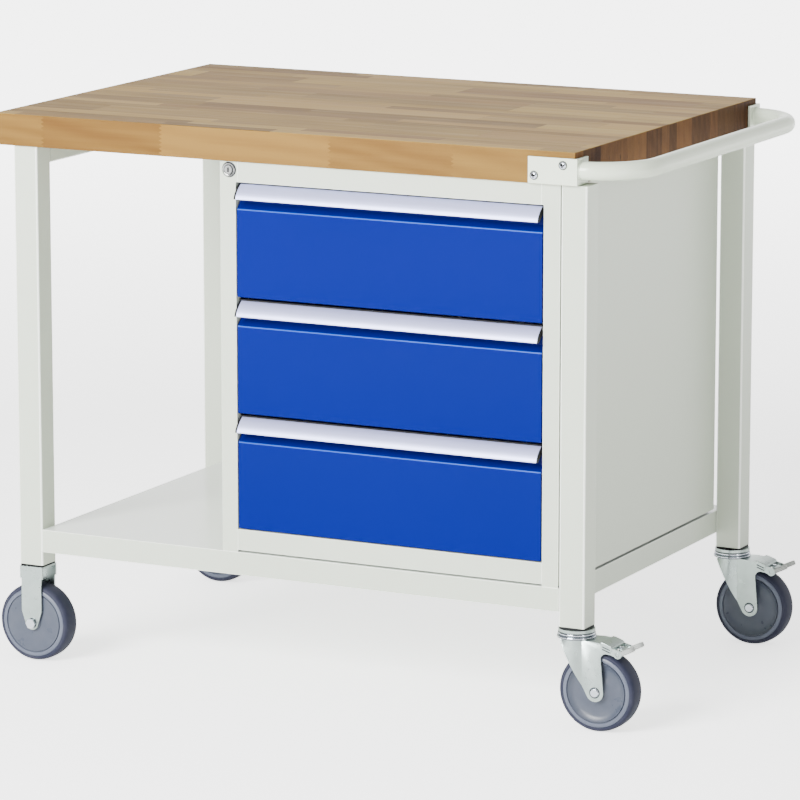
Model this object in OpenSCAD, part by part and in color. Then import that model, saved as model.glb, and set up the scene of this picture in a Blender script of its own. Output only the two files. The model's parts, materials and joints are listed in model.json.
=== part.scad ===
// Mobile workbench: beech top on a steel frame, shelf tray, drawer cabinet, push handle and four castors.
// Working coordinates: x from the outer face of the left legs, y back from the front face of the
// front legs, z up from the floor. The module placed() moves them to the part's own origin.

/* [Worktop] */
// Height of the working surface above the floor
bench_height = 880; // [860:1:960]
// Length of the worktop
top_width = 1000; // [980:1:1020]
// Depth of the worktop
top_depth = 700; // [690:1:760]
// Thickness of the worktop
top_thick = 50; // [40:1:60]
// How far the worktop stands out past the left legs
top_left_overhang = 32; // [20:1:50]
// How far the worktop stands out past the front legs
top_front_overhang = 4; // [0:1:6]

/* [Frame] */
// Width over the outer faces of the legs
frame_width = 986; // [980:1:1000]
// Depth over the outer faces of the legs
frame_depth = 650; // [640:1:680]
// Side of the square leg tube
leg_side = 42; // [40:1:44]
// Wall of the square leg tube
leg_wall = 2; // [1.5:0.1:3]
// Outer corner radius of the leg tube
leg_corner = 3; // [2.6:0.1:5]
// Height of the lower ends of the leg tubes
leg_bottom = 158; // [158:1:160]
// Height of the tubular rails under the worktop
rail_height = 30; // [25:1:40]
// Width of the tubular rails under the worktop
rail_width = 40; // [30:1:40]

/* [Shelf tray] */
// Height of the tray's loading surface
tray_top = 217; // [205:1:219]
// Height of the folded edge of the tray
tray_edge = 36.5; // [30:0.5:45]
// Sheet thickness of the tray
tray_sheet = 1.5; // [1:0.1:2]

/* [Cabinet] */
// Left face of the cabinet
cabinet_left = 368.6; // [360:0.2:380]
// Right face of the cabinet
cabinet_right = 942.6; // [940:0.2:943]
// Depth of the cabinet
cabinet_depth = 603; // [595:1:606]
// Sheet thickness of the cabinet
cabinet_sheet = 1.2; // [1:0.1:1.5]
// Width of the stiles beside the drawers
stile_width = 27; // [26:0.2:29]
// Height of the rail over the drawers
top_rail_height = 32; // [30:1:36]
// Height of the rail under the drawers
bottom_rail_height = 33; // [30:1:36]
// Gap between the cabinet's walls and the tray
cabinet_lift = 3.5; // [2:0.5:6]

/* [Drawers] */
// Number of drawers
drawer_count = 3; // [3:1:3]
// Height of one drawer front
front_height = 177; // [174:0.5:178]
// Distance from one drawer to the next
drawer_pitch = 182.1; // [182:0.1:182.3]
// Gap at each side of a drawer front
front_side_gap = 2; // [1.5:0.1:3]
// Depth of a drawer front
front_depth = 18; // [16:1:20]
// Height of the recess behind the grip
recess_height = 40.5; // [36:0.5:44]
// How far the recess goes back
recess_depth = 10; // [8:0.5:12]
// Depth of a drawer box
box_depth = 550; // [500:10:550]
// Height of a drawer box
box_height = 130; // [100:1:134]

/* [Grips] */
// How far the grip's lip stands out from the front
grip_reach = 12; // [10:0.5:14]
// How far the grip's lip hangs below the top of the front
grip_drop = 24; // [20:0.5:26]
// Radius of the grip's curved face
grip_radius = 34; // [30:1:50]
// Wall of the grip profile
grip_wall = 1.8; // [1.5:0.1:2.5]

/* [Push handle] */
// Outer diameter of the handle tube
handle_diameter = 28; // [25:0.5:30]
// Height of the handle's centre line
handle_height = 852; // [848:1:856]
// How far the handle's centre line stands out from the right legs
handle_reach = 68; // [60:1:90]
// Thickness of the handle brackets
bracket_thick = 4; // [3:0.5:5]
// Length of a bracket along the worktop's edge
bracket_length = 80; // [70:1:90]
// Height of a bracket
bracket_height = 40; // [36:1:44]

/* [Castors] */
// Diameter of the wheels
wheel_diameter = 125; // [125:1:125]
// Width of the wheels
wheel_width = 36; // [32:1:36]
// Total height of a castor
castor_height = 155; // [155:1:155]
// How far a swivel castor's wheel trails behind its pin
castor_trail = 40; // [36:1:42]
// Diameter of the wheel axles
axle_diameter = 10; // [8:1:12]
// Sheet thickness of the castor forks
fork_sheet = 3; // [2.5:0.1:3]
// Space between the cheeks of a fork
fork_gap = 39; // [39:0.5:40]

/* [Hidden] */
$fn = 48;

frame_colour = "gainsboro";
front_colour = "royalblue";
zinc_colour = "silver";
top_colour = "burlywood";
black_colour = "dimgray";
rim_colour = "lightslategray";
tyre_colour = "slategray";

// Derived places
top_bottom = bench_height - top_thick;
top_right = top_width - top_left_overhang;
top_rear = top_depth - top_front_overhang;
leg_right = frame_width - leg_side;
leg_rear = frame_depth - leg_side;
leg_mid = leg_side / 2;
front_axle_y = leg_mid;
rear_axle_y = frame_depth - leg_mid;
swivel_x = frame_width - leg_mid;
wheel_radius = wheel_diameter / 2;

cabinet_mid = (cabinet_left + cabinet_right) / 2;
cabinet_bottom = tray_top + cabinet_lift;
opening_left = cabinet_left + stile_width;
opening_width = cabinet_right - cabinet_left - 2 * stile_width;
opening_bottom = cabinet_bottom + bottom_rail_height;
opening_top = top_bottom - top_rail_height;
stile_return = 15;
seam_inset = 3.6;

front_left = opening_left + front_side_gap;
front_width = opening_width - 2 * front_side_gap;
lowest_front = opening_bottom + 2;
bend_height = front_height - recess_height;
seam_gap = 0.1;
slide_thick = 12.5;
slide_left = opening_left + 1.3;
box_left = slide_left + slide_thick;
box_width = 2 * (cabinet_mid - box_left);
box_lift = 8;
slide_height = 45;
slide_length = box_depth;
slide_start = front_depth + 2;
slide_sheet = 1.2;

screw_head = 3.5;
pedal_tip_x = swivel_x + 104;
left_end = leg_mid - wheel_radius;
rear_end = top_rear + bracket_thick + screw_head;
x_mid = (left_end + pedal_tip_x) / 2;
y_mid = (rear_end - grip_reach) / 2;

function drawer_bottom(n) = lowest_front + (drawer_count - n) * drawer_pitch;

module placed() {
    translate([-x_mid, -y_mid, 0]) children();
}

// A flat section drawn as (y, z), run along x
module along_x(length) {
    rotate([90, 0, 90]) linear_extrude(length) children();
}

// A flat section drawn as (x, z), run along y
module along_y(length) {
    translate([0, length, 0]) rotate([90, 0, 0]) linear_extrude(length) children();
}

// Repeats its children on the cabinet's left side and mirrored on its right side
module both_sides() {
    children();
    translate([2 * cabinet_mid, 0, 0]) mirror([1, 0, 0]) children();
}

module rounded_rect(width, depth, radius) {
    translate([radius, 0]) square([width - 2 * radius, depth]);
    translate([0, radius]) square([width, depth - 2 * radius]);
    for (x = [radius, width - radius], y = [radius, depth - radius])
        translate([x, y]) circle(radius);
}

module box_section(width, height, wall, radius) {
    difference() {
        rounded_rect(width, height, radius);
        translate([wall, wall]) rounded_rect(width - 2 * wall, height - 2 * wall, radius - wall);
    }
}

/* Worktop, frame and tray */

bracket_right = top_right + 1 + bracket_thick;
bracket_low = handle_height - bracket_height / 2 - 1;
screw_places = [[bracket_right - 70, bracket_low + 12], [bracket_right - 23, bracket_low + 29.5]];
screw_diameter = 6;
screw_length = 30;

module worktop() {
    color(top_colour) placed() difference() {
        translate([-top_left_overhang, -top_front_overhang, top_bottom])
            cube([top_width, top_depth, top_thick]);
        for (p = screw_places) {
            translate([p[0], -top_front_overhang - 1, p[1]])
                rotate([-90, 0, 0]) cylinder(d = screw_diameter + 0.2, h = screw_length + 2);
            translate([p[0], top_rear + 1, p[1]])
                rotate([90, 0, 0]) cylinder(d = screw_diameter + 0.2, h = screw_length + 2);
        }
    }
}

module leg(x, y) {
    color(frame_colour) placed() translate([x, y, leg_bottom])
        linear_extrude(top_bottom - leg_bottom) box_section(leg_side, leg_side, leg_wall, leg_corner);
}

stem_diameter = 12;
cap_plug = leg_side - 2 * leg_wall - 0.4;
cap_flange = leg_bottom - castor_height;

module leg_cap(x, y) {
    translate([x, y, castor_height]) difference() {
        union() {
            translate([0.3, 0.3, 0])
                linear_extrude(cap_flange) rounded_rect(leg_side - 0.6, leg_side - 0.6, leg_corner);
            translate([leg_mid - cap_plug / 2, leg_mid - cap_plug / 2, cap_flange])
                linear_extrude(28) rounded_rect(cap_plug, cap_plug, 1.2);
        }
        translate([leg_mid, leg_mid, -1]) cylinder(d = stem_diameter + 0.2, h = 40);
    }
}

module leg_caps() {
    color(black_colour) placed()
        for (x = [0, leg_right], y = [0, leg_rear]) leg_cap(x, y);
}

module top_rail_left() {
    color(frame_colour) placed() translate([leg_side - rail_width, leg_side, top_bottom - rail_height])
        along_y(leg_rear - leg_side) box_section(rail_width, rail_height, leg_wall, leg_corner);
}

module top_rail_rear() {
    color(frame_colour) placed()
        translate([leg_side, frame_depth - rail_width - 1, top_bottom - rail_height])
        along_x(leg_right - leg_side) box_section(rail_width, rail_height, leg_wall, leg_corner);
}

tray_lip = 15;

module shelf_tray() {
    inside = frame_width - 2 * leg_side - 2 * tray_sheet;
    color(frame_colour) placed() translate([leg_side, 0, tray_top - tray_edge]) difference() {
        cube([frame_width - 2 * leg_side, frame_depth, tray_edge]);
        translate([tray_sheet, tray_sheet, tray_sheet])
            cube([inside, frame_depth - 2 * tray_sheet, tray_edge - 2 * tray_sheet]);
        translate([tray_lip, tray_lip, -1])
            cube([inside + 2 * tray_sheet - 2 * tray_lip, frame_depth - 2 * tray_lip, tray_sheet + 2]);
    }
}

/* Cabinet */

lock_x = cabinet_left + 16;
lock_z = top_bottom - 13.2;
lock_barrel = 18;
lock_flange = 22;

// One side wall with its folded stile, drawn for the left side
module cabinet_side() {
    sheet = cabinet_sheet;
    translate([cabinet_left, 0, cabinet_bottom])
        cube([sheet, cabinet_depth, top_bottom - cabinet_bottom]);
    translate([cabinet_left, 0, tray_top]) cube([stile_width, sheet, top_bottom - tray_top]);
    translate([cabinet_left, 0, opening_top])
        cube([stile_width + seam_inset, sheet, top_bottom - opening_top]);
    translate([opening_left - sheet, 0, cabinet_bottom])
        cube([sheet, stile_return, opening_top - cabinet_bottom]);
    translate([cabinet_left, cabinet_depth - sheet, cabinet_bottom])
        cube([20, sheet, top_bottom - cabinet_bottom]);
}

module cabinet_side_left() {
    color(frame_colour) placed() difference() {
        cabinet_side();
        translate([lock_x, -1, lock_z]) rotate([-90, 0, 0]) cylinder(d = lock_barrel + 0.2, h = 5);
    }
}

module cabinet_side_right() {
    color(frame_colour) placed() translate([2 * cabinet_mid, 0, 0]) mirror([1, 0, 0]) cabinet_side();
}

module cabinet_top_rail() {
    length = opening_width - 2 * seam_inset;
    color(frame_colour) placed() translate([opening_left + seam_inset, 0, opening_top]) {
        cube([length, cabinet_sheet, top_rail_height]);
        cube([length, stile_return, cabinet_sheet]);
        translate([0, 0, top_rail_height - cabinet_sheet]) cube([length, 30, cabinet_sheet]);
    }
}

module cabinet_bottom_rail() {
    color(frame_colour) placed() translate([opening_left, 0, cabinet_bottom]) {
        cube([opening_width, cabinet_sheet, bottom_rail_height]);
        translate([0, 0, bottom_rail_height - cabinet_sheet])
            cube([opening_width, stile_return, cabinet_sheet]);
        cube([opening_width, 40, cabinet_sheet]);
    }
}

module cabinet_back() {
    color(frame_colour) placed()
        translate([cabinet_left + cabinet_sheet, cabinet_depth - 2 * cabinet_sheet, cabinet_bottom])
        cube([cabinet_right - cabinet_left - 2 * cabinet_sheet, cabinet_sheet, top_bottom - cabinet_bottom]);
}

post_width = 30;
post_low = cabinet_bottom + 2;
post_places = [40, 500];

// Channel that carries the runners off the cabinet wall
module runner_post(y) {
    depth = slide_left - cabinet_left - cabinet_sheet;
    translate([cabinet_left + cabinet_sheet, y, post_low]) difference() {
        cube([depth, post_width, top_bottom - 4 - post_low]);
        translate([-1, cabinet_sheet, -1])
            cube([depth + 1 - cabinet_sheet, post_width - 2 * cabinet_sheet, top_bottom]);
    }
}

module runner_posts() {
    color(zinc_colour) placed() both_sides() for (y = post_places) runner_post(y);
}

/* Drawer runners: three channels that slide inside one another */

// C-shaped section with its web at x = web_x; the flanges run from flange_x on, height is over the flanges
module runner_section(web_x, flange_x, flange_width, height) {
    translate([web_x, -height / 2]) square([slide_sheet, height]);
    for (z = [-height / 2, height / 2 - slide_sheet])
        translate([flange_x, z]) square([flange_width, slide_sheet]);
}

module runner(n) {
    translate([slide_left, slide_start, drawer_bottom(n) + slide_height])
        along_y(slide_length) children();
}

module runner_outer_members() {
    color(zinc_colour) placed() both_sides() for (n = [1 : drawer_count])
        runner(n) runner_section(0, 0, 9, 46);
}

module runner_middle(n) {
    color(zinc_colour) placed() both_sides() runner(n) runner_section(2.6, 2.6, 7.6, 40);
}

module runner_inner(n) {
    color(zinc_colour) placed() both_sides()
        runner(n) runner_section(slide_thick - slide_sheet, 5.2, slide_thick - 5.2, 34);
}

/* Drawers */

module drawer_front(n) {
    sheet = cabinet_sheet;
    slope_top = bend_height + recess_depth;
    pan = [[0, 0], [0, bend_height], [recess_depth, slope_top], [front_depth, slope_top], [front_depth, 0]];
    pan_inside = [[sheet, sheet], [sheet, bend_height - sheet / 2],
                  [recess_depth + sheet / 2, slope_top - sheet], [front_depth + 1, slope_top - sheet],
                  [front_depth + 1, sheet]];
    color(front_colour) placed() translate([front_left, 0, drawer_bottom(n)]) {
        difference() {
            along_x(front_width) polygon(pan);
            translate([sheet, 0, 0]) along_x(front_width - 2 * sheet) polygon(pan_inside);
        }
        translate([0, recess_depth, slope_top + seam_gap]) recess_strip(front_height - slope_top - seam_gap);
    }
}

// Folded strip at the back of the finger recess, spot-welded on top of the pan
module recess_strip(height) {
    sheet = cabinet_sheet;
    depth = front_depth - recess_depth;
    difference() {
        cube([front_width, depth, height]);
        translate([sheet, sheet, -1]) cube([front_width - 2 * sheet, depth, height - sheet + 1]);
    }
}

catch_height = 100;

module drawer_box(n) {
    sheet = cabinet_sheet;
    color(frame_colour) placed() translate([box_left, front_depth, drawer_bottom(n) + box_lift]) {
        difference() {
            cube([box_width, box_depth, box_height]);
            translate([sheet, sheet, sheet])
                cube([box_width - 2 * sheet, box_depth - 2 * sheet, box_height]);
        }
        for (x = [sheet, box_width - 8])
            translate([x, 0, box_height - sheet]) cube([8 - sheet, box_depth, sheet]);
        translate([-6, 16, catch_height]) cube([6, 4, 10]);
    }
}

// Grip section as (y, z) from the top of the drawer front
grip_top = [recess_depth, -1];
grip_lip = [-grip_reach + 1, 1 - grip_drop];
grip_chord = norm(grip_top - grip_lip);
grip_normal = [grip_top[1] - grip_lip[1], grip_lip[0] - grip_top[0]] / grip_chord;
grip_centre = (grip_top + grip_lip) / 2
    + grip_normal * sqrt(grip_radius * grip_radius - grip_chord * grip_chord / 4);
grip_length = front_width - 5;

module grip_section() {
    difference() {
        intersection() {
            translate(grip_centre) difference() {
                circle(grip_radius, $fn = 96);
                circle(grip_radius - grip_wall, $fn = 96);
            }
            polygon([grip_centre, grip_centre + 2 * (grip_lip - grip_centre),
                     grip_centre + 3 * ((grip_top + grip_lip) / 2 - grip_centre),
                     grip_centre + 2 * (grip_top - grip_centre)]);
        }
        translate([recess_depth, -40]) square([40, 60]);
    }
    translate([recess_depth - grip_wall, -13]) square([grip_wall, 11]);
}

module grip_bead() {
    translate(grip_lip + [0.1, 0.1]) circle(1.1);
}

module drawer_grip(n) {
    color(zinc_colour) placed()
        translate([cabinet_mid - grip_length / 2, 0, drawer_bottom(n) + front_height])
        along_x(grip_length) {
            grip_section();
            grip_bead();
        }
}

module grip_cap_outline() {
    intersection() {
        translate(grip_centre) circle(grip_radius, $fn = 96);
        polygon([[recess_depth, -1], [recess_depth, -14], [recess_depth - 3, -14], grip_lip + [1.6, -0.6],
                 grip_lip + [-0.6, -0.2], [-grip_reach - 5, -8], [recess_depth - 8, 6]]);
    }
}

module grip_caps(n) {
    color(black_colour) placed() translate([0, 0, drawer_bottom(n) + front_height])
        for (x = [cabinet_mid - grip_length / 2 - 1.5, cabinet_mid + grip_length / 2])
            translate([x, 0, 0]) along_x(1.5) grip_cap_outline();
}

/* Lock with its turning core and the bar that holds the drawers shut */

core_diameter = 13;
core_back = 24;
cam_thick = 2;
cam_arm = 8;
pin_diameter = 5;
bar_y = 28;

module lock_housing() {
    color(zinc_colour) placed() translate([lock_x, 0, lock_z]) rotate([-90, 0, 0]) difference() {
        union() {
            translate([0, 0, -3]) cylinder(d = lock_flange, h = 3);
            cylinder(d = lock_barrel, h = core_back - 0.5);
        }
        translate([0, 0, -4]) cylinder(d = core_diameter + 0.1, h = core_back + 8);
    }
}

module lock_core() {
    pin_x = -cam_arm * cos(45);
    pin_z = -cam_arm * sin(45);
    color(zinc_colour) placed() translate([lock_x, 0, lock_z]) {
        difference() {
            translate([0, -3.5, 0]) rotate([-90, 0, 0]) cylinder(d = core_diameter, h = core_back + 3.5);
            translate([-0.8, -4.5, -4]) cube([1.6, 6, 8]);
        }
        translate([0, core_back, 0]) rotate([-90, 0, 0]) {
            cylinder(d = core_diameter, h = cam_thick);
            translate([pin_x, -pin_z, 0]) cylinder(d = 9, h = cam_thick);
            translate([pin_x, -pin_z, 0]) cylinder(d = pin_diameter, h = bar_y + 4 - core_back);
        }
    }
}

module lock_bar() {
    pin_z = lock_z - cam_arm * sin(45);
    tab_top = [for (n = [1 : drawer_count]) drawer_bottom(n) + box_lift + catch_height - 1.5];
    color(zinc_colour) placed() difference() {
        union() {
            translate([cabinet_left + 3, bar_y, 250]) cube([13, 2, pin_z + 5 - 250]);
            for (z = tab_top) translate([cabinet_left + 3, bar_y, z - 9]) cube([37, 2, 9]);
        }
        translate([lock_x - cam_arm - 3, bar_y - 1, pin_z - 2.9]) cube([8.5, 4, 5.8]);
    }
}

/* Push handle */

module handle_bracket() {
    low = bracket_low;
    front = -top_front_overhang - bracket_thick;
    difference() {
        union() {
            translate([bracket_right - bracket_length, front, low])
                cube([bracket_length, bracket_thick, bracket_height]);
            translate([bracket_right - bracket_thick, front, low])
                cube([bracket_thick, bracket_height, bracket_height]);
        }
        for (p = screw_places)
            translate([p[0], front - 1, p[1]])
                rotate([-90, 0, 0]) cylinder(d = screw_diameter + 0.4, h = bracket_thick + 2);
    }
}

// Repeats its children at the worktop's front edge and mirrored at its rear edge
module both_edges() {
    children();
    translate([0, top_rear - top_front_overhang, 0]) mirror([0, 1, 0]) children();
}

module handle_brackets() {
    color(frame_colour) placed() both_edges() handle_bracket();
}

module bracket_screw() {
    rotate([-90, 0, 0]) {
        difference() {
            translate([0, 0, -screw_head]) cylinder(d1 = 9, d2 = 12, h = screw_head);
            for (a = [0, 90]) rotate([0, 0, a]) translate([-3, -0.6, -screw_head - 1]) cube([6, 1.2, 3]);
        }
        cylinder(d = screw_diameter, h = screw_length);
    }
}

module bracket_screws() {
    color(zinc_colour) placed() both_edges() for (p = screw_places)
        translate([p[0], -top_front_overhang - bracket_thick, p[1]]) bracket_screw();
}

handle_front = -top_front_overhang - bracket_thick + 16;
handle_rear = top_rear + bracket_thick - 16;
handle_line = frame_width + handle_reach;
handle_bend = handle_line - bracket_right;

module handle_corner() {
    translate([handle_line - handle_bend, handle_front + handle_bend, handle_height])
        rotate([0, 0, -90]) rotate_extrude(angle = 90, $fn = 96)
            translate([handle_bend, 0]) circle(d = handle_diameter);
}

module handle_tube() {
    run = handle_rear - handle_front - 2 * handle_bend;
    color(frame_colour) placed() {
        handle_corner();
        translate([0, handle_front + handle_rear, 0]) mirror([0, 1, 0]) handle_corner();
        translate([handle_line, handle_front + handle_bend, handle_height])
            rotate([-90, 0, 0]) cylinder(d = handle_diameter, h = run);
    }
}

/* Castors. Each is drawn round its own upright pin at x = y = 0 */

module castor_at(x, y) {
    placed() translate([x, y, 0]) children();
}

hub_radius = 13;
hub_width = fork_gap - 1;
rim_radius = 55;
tread_inner = 52;

// Upper half of a wheel body's section as (radius, half width); dish is how deep the disc lies
function rim_half(dish) = let (face = wheel_width / 2) [
    [axle_diameter / 2 + 0.05, hub_width / 2], [hub_radius - 1, hub_width / 2],
    [hub_radius, hub_width / 2 - 1], [hub_radius + 1, face - dish], [47 - dish, face - dish],
    [47.5, face - 0.6], [48.5, face], [rim_radius - 1, face], [rim_radius, face - 1],
    [rim_radius, face - 4], [tread_inner, face - 6]];

module wheel_spin() {
    rotate([90, 0, 0]) rotate_extrude($fn = 96) children();
}

module rim(dish) {
    upper = rim_half(dish);
    lower = [for (i = [len(upper) - 1 : -1 : 0]) [upper[i][0], -upper[i][1]]];
    color(rim_colour) wheel_spin() polygon(concat(upper, lower));
}

shoulder = 9;

// Half section of the tyre: a crown with round shoulders on the wheel body
module tyre_half() {
    face = wheel_width / 2;
    flat = face - 0.2 - shoulder;
    difference() {
        union() {
            translate([tread_inner, 0]) square([wheel_radius - tread_inner, flat]);
            translate([tread_inner, 0]) square([wheel_radius - shoulder - tread_inner, face - 0.2]);
            translate([wheel_radius - shoulder, flat]) circle(shoulder);
        }
        polygon([[tread_inner - 8, -10], [tread_inner, -10], [tread_inner, face - 6], [rim_radius, face - 4],
                 [rim_radius, face + 1], [tread_inner - 8, face + 1]]);
        translate([tread_inner - 1, -20]) square([20, 20]);
    }
}

module tyre() {
    color(tyre_colour) wheel_spin() {
        tyre_half();
        mirror([0, 1]) tyre_half();
    }
}

fork_half = fork_gap / 2 + fork_sheet;

module fixed_wheel() {
    translate([0, 0, wheel_radius]) children();
}

module swivel_wheel() {
    translate([castor_trail, 0, wheel_radius]) children();
}

module axle(hex) {
    color(zinc_colour) rotate([90, 0, 0]) {
        translate([0, 0, -fork_half]) cylinder(d = axle_diameter, h = 2 * fork_half);
        if (hex) {
            translate([0, 0, fork_half]) cylinder(d = 15 / cos(30), h = 5.5, $fn = 6);
            translate([0, 0, -fork_half - 5.5]) cylinder(d = 15 / cos(30), h = 5.5, $fn = 6);
        } else {
            translate([0, 0, fork_half]) cylinder(d1 = 15, d2 = 12, h = 2.5);
            translate([0, 0, -fork_half - 2.5]) cylinder(d1 = 12, d2 = 15, h = 2.5);
        }
    }
}

module axle_hole() {
    rotate([90, 0, 0]) cylinder(d = axle_diameter + 0.1, h = 100, center = true);
}

cheek_half_width = 18;
fork_tip = 11;

// Cheek of a fixed fork as (x, z), tapering to a round end at the axle
module fixed_cheek() {
    taper_start = 82;
    shoulder = [cheek_half_width, taper_start - wheel_radius];
    touch = atan2(shoulder[1], shoulder[0]) - acos(fork_tip / norm(shoulder));
    tip = [fork_tip * cos(touch), wheel_radius + fork_tip * sin(touch)];
    polygon([[-cheek_half_width, castor_height], [-cheek_half_width, taper_start], [-tip[0], tip[1]],
             tip, [cheek_half_width, taper_start], [cheek_half_width, castor_height]]);
    translate([0, wheel_radius]) circle(fork_tip);
    translate([-cheek_half_width - 2.5, castor_height - 20]) square([2 * cheek_half_width + 5, 20]);
}

module fixed_fork() {
    color(zinc_colour) difference() {
        union() {
            for (y = [-fork_half, fork_gap / 2]) translate([0, y, 0]) along_y(fork_sheet) fixed_cheek();
            translate([-leg_mid + 0.5, -fork_half, castor_height - fork_sheet])
                cube([leg_side - 1, 2 * fork_half, fork_sheet]);
            translate([0, 0, castor_height - fork_sheet]) cylinder(d = stem_diameter, h = 26);
            translate([0, 0, castor_height - fork_sheet - 6]) cylinder(d = 19 / cos(30), h = 6, $fn = 6);
        }
        translate([0, 0, wheel_radius]) axle_hole();
    }
}

pin_hole = 12.1;
race_top = 141;
race_radius = 30;

// Fixed half of the swivel bearing: stem, upper race and king pin
module swivel_head() {
    color(zinc_colour) {
        translate([0, 0, castor_height]) cylinder(d = stem_diameter, h = 24);
        translate([0, 0, 150.6]) cylinder(r = race_radius - 2, h = castor_height - 150.6);
        translate([0, 0, 133]) cylinder(d = 12, h = 20);
        translate([0, 0, 131]) cylinder(d = 20, h = 6.5);
    }
}

cheek_flat = fork_half;
nose_radius = 29.5;
pedal_pivot = [77, 125.5];
pedal_pin = 6;
tail_end = 70;
swivel_tip = 14;
arch_centre = [58.5, 115.4];
arch_radius = 9;

// Plan of the fork, drawn a given distance inside its outer surface
module fork_plan(inset) {
    circle(nose_radius - inset, $fn = 64);
    translate([0, -cheek_flat + inset]) square([100, 2 * (cheek_flat - inset)]);
}

// Side view of the fork as (x, z): a sloping front edge, a round end at the axle, an arch over the wheel
module fork_side() {
    difference() {
        union() {
            polygon([[-18.5, race_top], [castor_trail - 12.4, wheel_radius - 6.5],
                     [castor_trail + swivel_tip, wheel_radius], [49.6, arch_centre[1] - 3], arch_centre,
                     arch_centre + [0, arch_radius], [66, 123.8], [72, 121.5], pedal_pivot - [0, 6.5],
                     pedal_pivot + [0, 6.5], [66, 135], [53, 139.5], [38, race_top]]);
            translate([castor_trail, wheel_radius]) circle(swivel_tip);
            translate(pedal_pivot) circle(6.5);
        }
        translate(arch_centre) circle(arch_radius);
    }
}

// Space inside the fork as (x, z), one sheet below its top surface and open behind the tail
module fork_space() {
    polygon([[-60, 20], [-60, race_top - fork_sheet], [38, race_top - fork_sheet],
             [53, 139.5 - fork_sheet], [66, 135 - fork_sheet], [tail_end, 133.6 - fork_sheet],
             [tail_end, 150], [100, 150], [100, 20]]);
}

module swivel_fork() {
    color(zinc_colour) difference() {
        union() {
            difference() {
                intersection() {
                    linear_extrude(race_top) fork_plan(0);
                    translate([0, -50, 0]) along_y(100) fork_side();
                }
                intersection() {
                    linear_extrude(race_top + 20) fork_plan(fork_sheet);
                    translate([0, -50, 0]) along_y(100) fork_space();
                }
            }
            translate([0, 0, race_top]) cylinder(r = race_radius, h = 8.8);
        }
        translate([0, 0, 100]) cylinder(d = pin_hole, h = 60);
        translate([castor_trail, 0, wheel_radius]) axle_hole();
        translate([pedal_pivot[0], 0, pedal_pivot[1]])
            rotate([90, 0, 0]) cylinder(d = pedal_pin + 0.1, h = 100, center = true);
    }
}

pedal_slope = 25;
pedal_width = 56;
pedal_thick = 4;
ear_width = 15;
ear_start = 10;
ear_reach = (pedal_tip_x - swivel_x - pedal_pivot[0] - sin(pedal_slope)) / cos(pedal_slope);

// Brake pedal with two ears; it turns on its own pin
module brake_pedal() {
    ear_middle = ear_reach - ear_width / 2;
    side = (pedal_width - ear_width) / 2;
    color(black_colour) translate([pedal_pivot[0], 0, pedal_pivot[1]]) {
        rotate([90, 0, 0]) cylinder(d = pedal_pin, h = 2 * fork_half, center = true);
        rotate([90, 0, 0]) cylinder(d = 11, h = fork_gap - 1, center = true);
        rotate([0, -pedal_slope, 0]) translate([0, 0, -1]) {
            translate([0, -12, 0]) cube([ear_start + 2, 24, pedal_thick]);
            translate([ear_start, -side, 0]) cube([7, 2 * side, pedal_thick]);
            for (y = [-side, side]) {
                translate([ear_middle, y, 0]) cylinder(d = ear_width, h = pedal_thick);
                translate([ear_start, y - ear_width / 2, 0])
                    cube([ear_middle - ear_start, ear_width, pedal_thick]);
            }
        }
    }
}

/* One module for each node that repeats */

module leg_front_left() { leg(0, 0); }
module leg_front_right() { leg(leg_right, 0); }
module leg_rear_left() { leg(0, leg_rear); }
module leg_rear_right() { leg(leg_right, leg_rear); }

module fixed_fork_front() { castor_at(leg_mid, front_axle_y) fixed_fork(); }
module fixed_fork_rear() { castor_at(leg_mid, rear_axle_y) fixed_fork(); }
module rim_fixed_front() { castor_at(leg_mid, front_axle_y) fixed_wheel() rim(1.5); }
module rim_fixed_rear() { castor_at(leg_mid, rear_axle_y) fixed_wheel() rim(1.5); }
module tyre_fixed_front() { castor_at(leg_mid, front_axle_y) fixed_wheel() tyre(); }
module tyre_fixed_rear() { castor_at(leg_mid, rear_axle_y) fixed_wheel() tyre(); }

module fixed_axles() {
    for (y = [front_axle_y, rear_axle_y]) castor_at(leg_mid, y) fixed_wheel() axle(true);
}

module swivel_head_front() { castor_at(swivel_x, front_axle_y) swivel_head(); }
module swivel_head_rear() { castor_at(swivel_x, rear_axle_y) swivel_head(); }
module swivel_fork_front() { castor_at(swivel_x, front_axle_y) swivel_fork(); }
module swivel_fork_rear() { castor_at(swivel_x, rear_axle_y) swivel_fork(); }
module swivel_axle_front() { castor_at(swivel_x, front_axle_y) swivel_wheel() axle(false); }
module swivel_axle_rear() { castor_at(swivel_x, rear_axle_y) swivel_wheel() axle(false); }
module brake_pedal_front() { castor_at(swivel_x, front_axle_y) brake_pedal(); }
module brake_pedal_rear() { castor_at(swivel_x, rear_axle_y) brake_pedal(); }
module rim_swivel_front() { castor_at(swivel_x, front_axle_y) swivel_wheel() rim(5); }
module rim_swivel_rear() { castor_at(swivel_x, rear_axle_y) swivel_wheel() rim(5); }
module tyre_swivel_front() { castor_at(swivel_x, front_axle_y) swivel_wheel() tyre(); }
module tyre_swivel_rear() { castor_at(swivel_x, rear_axle_y) swivel_wheel() tyre(); }

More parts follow.
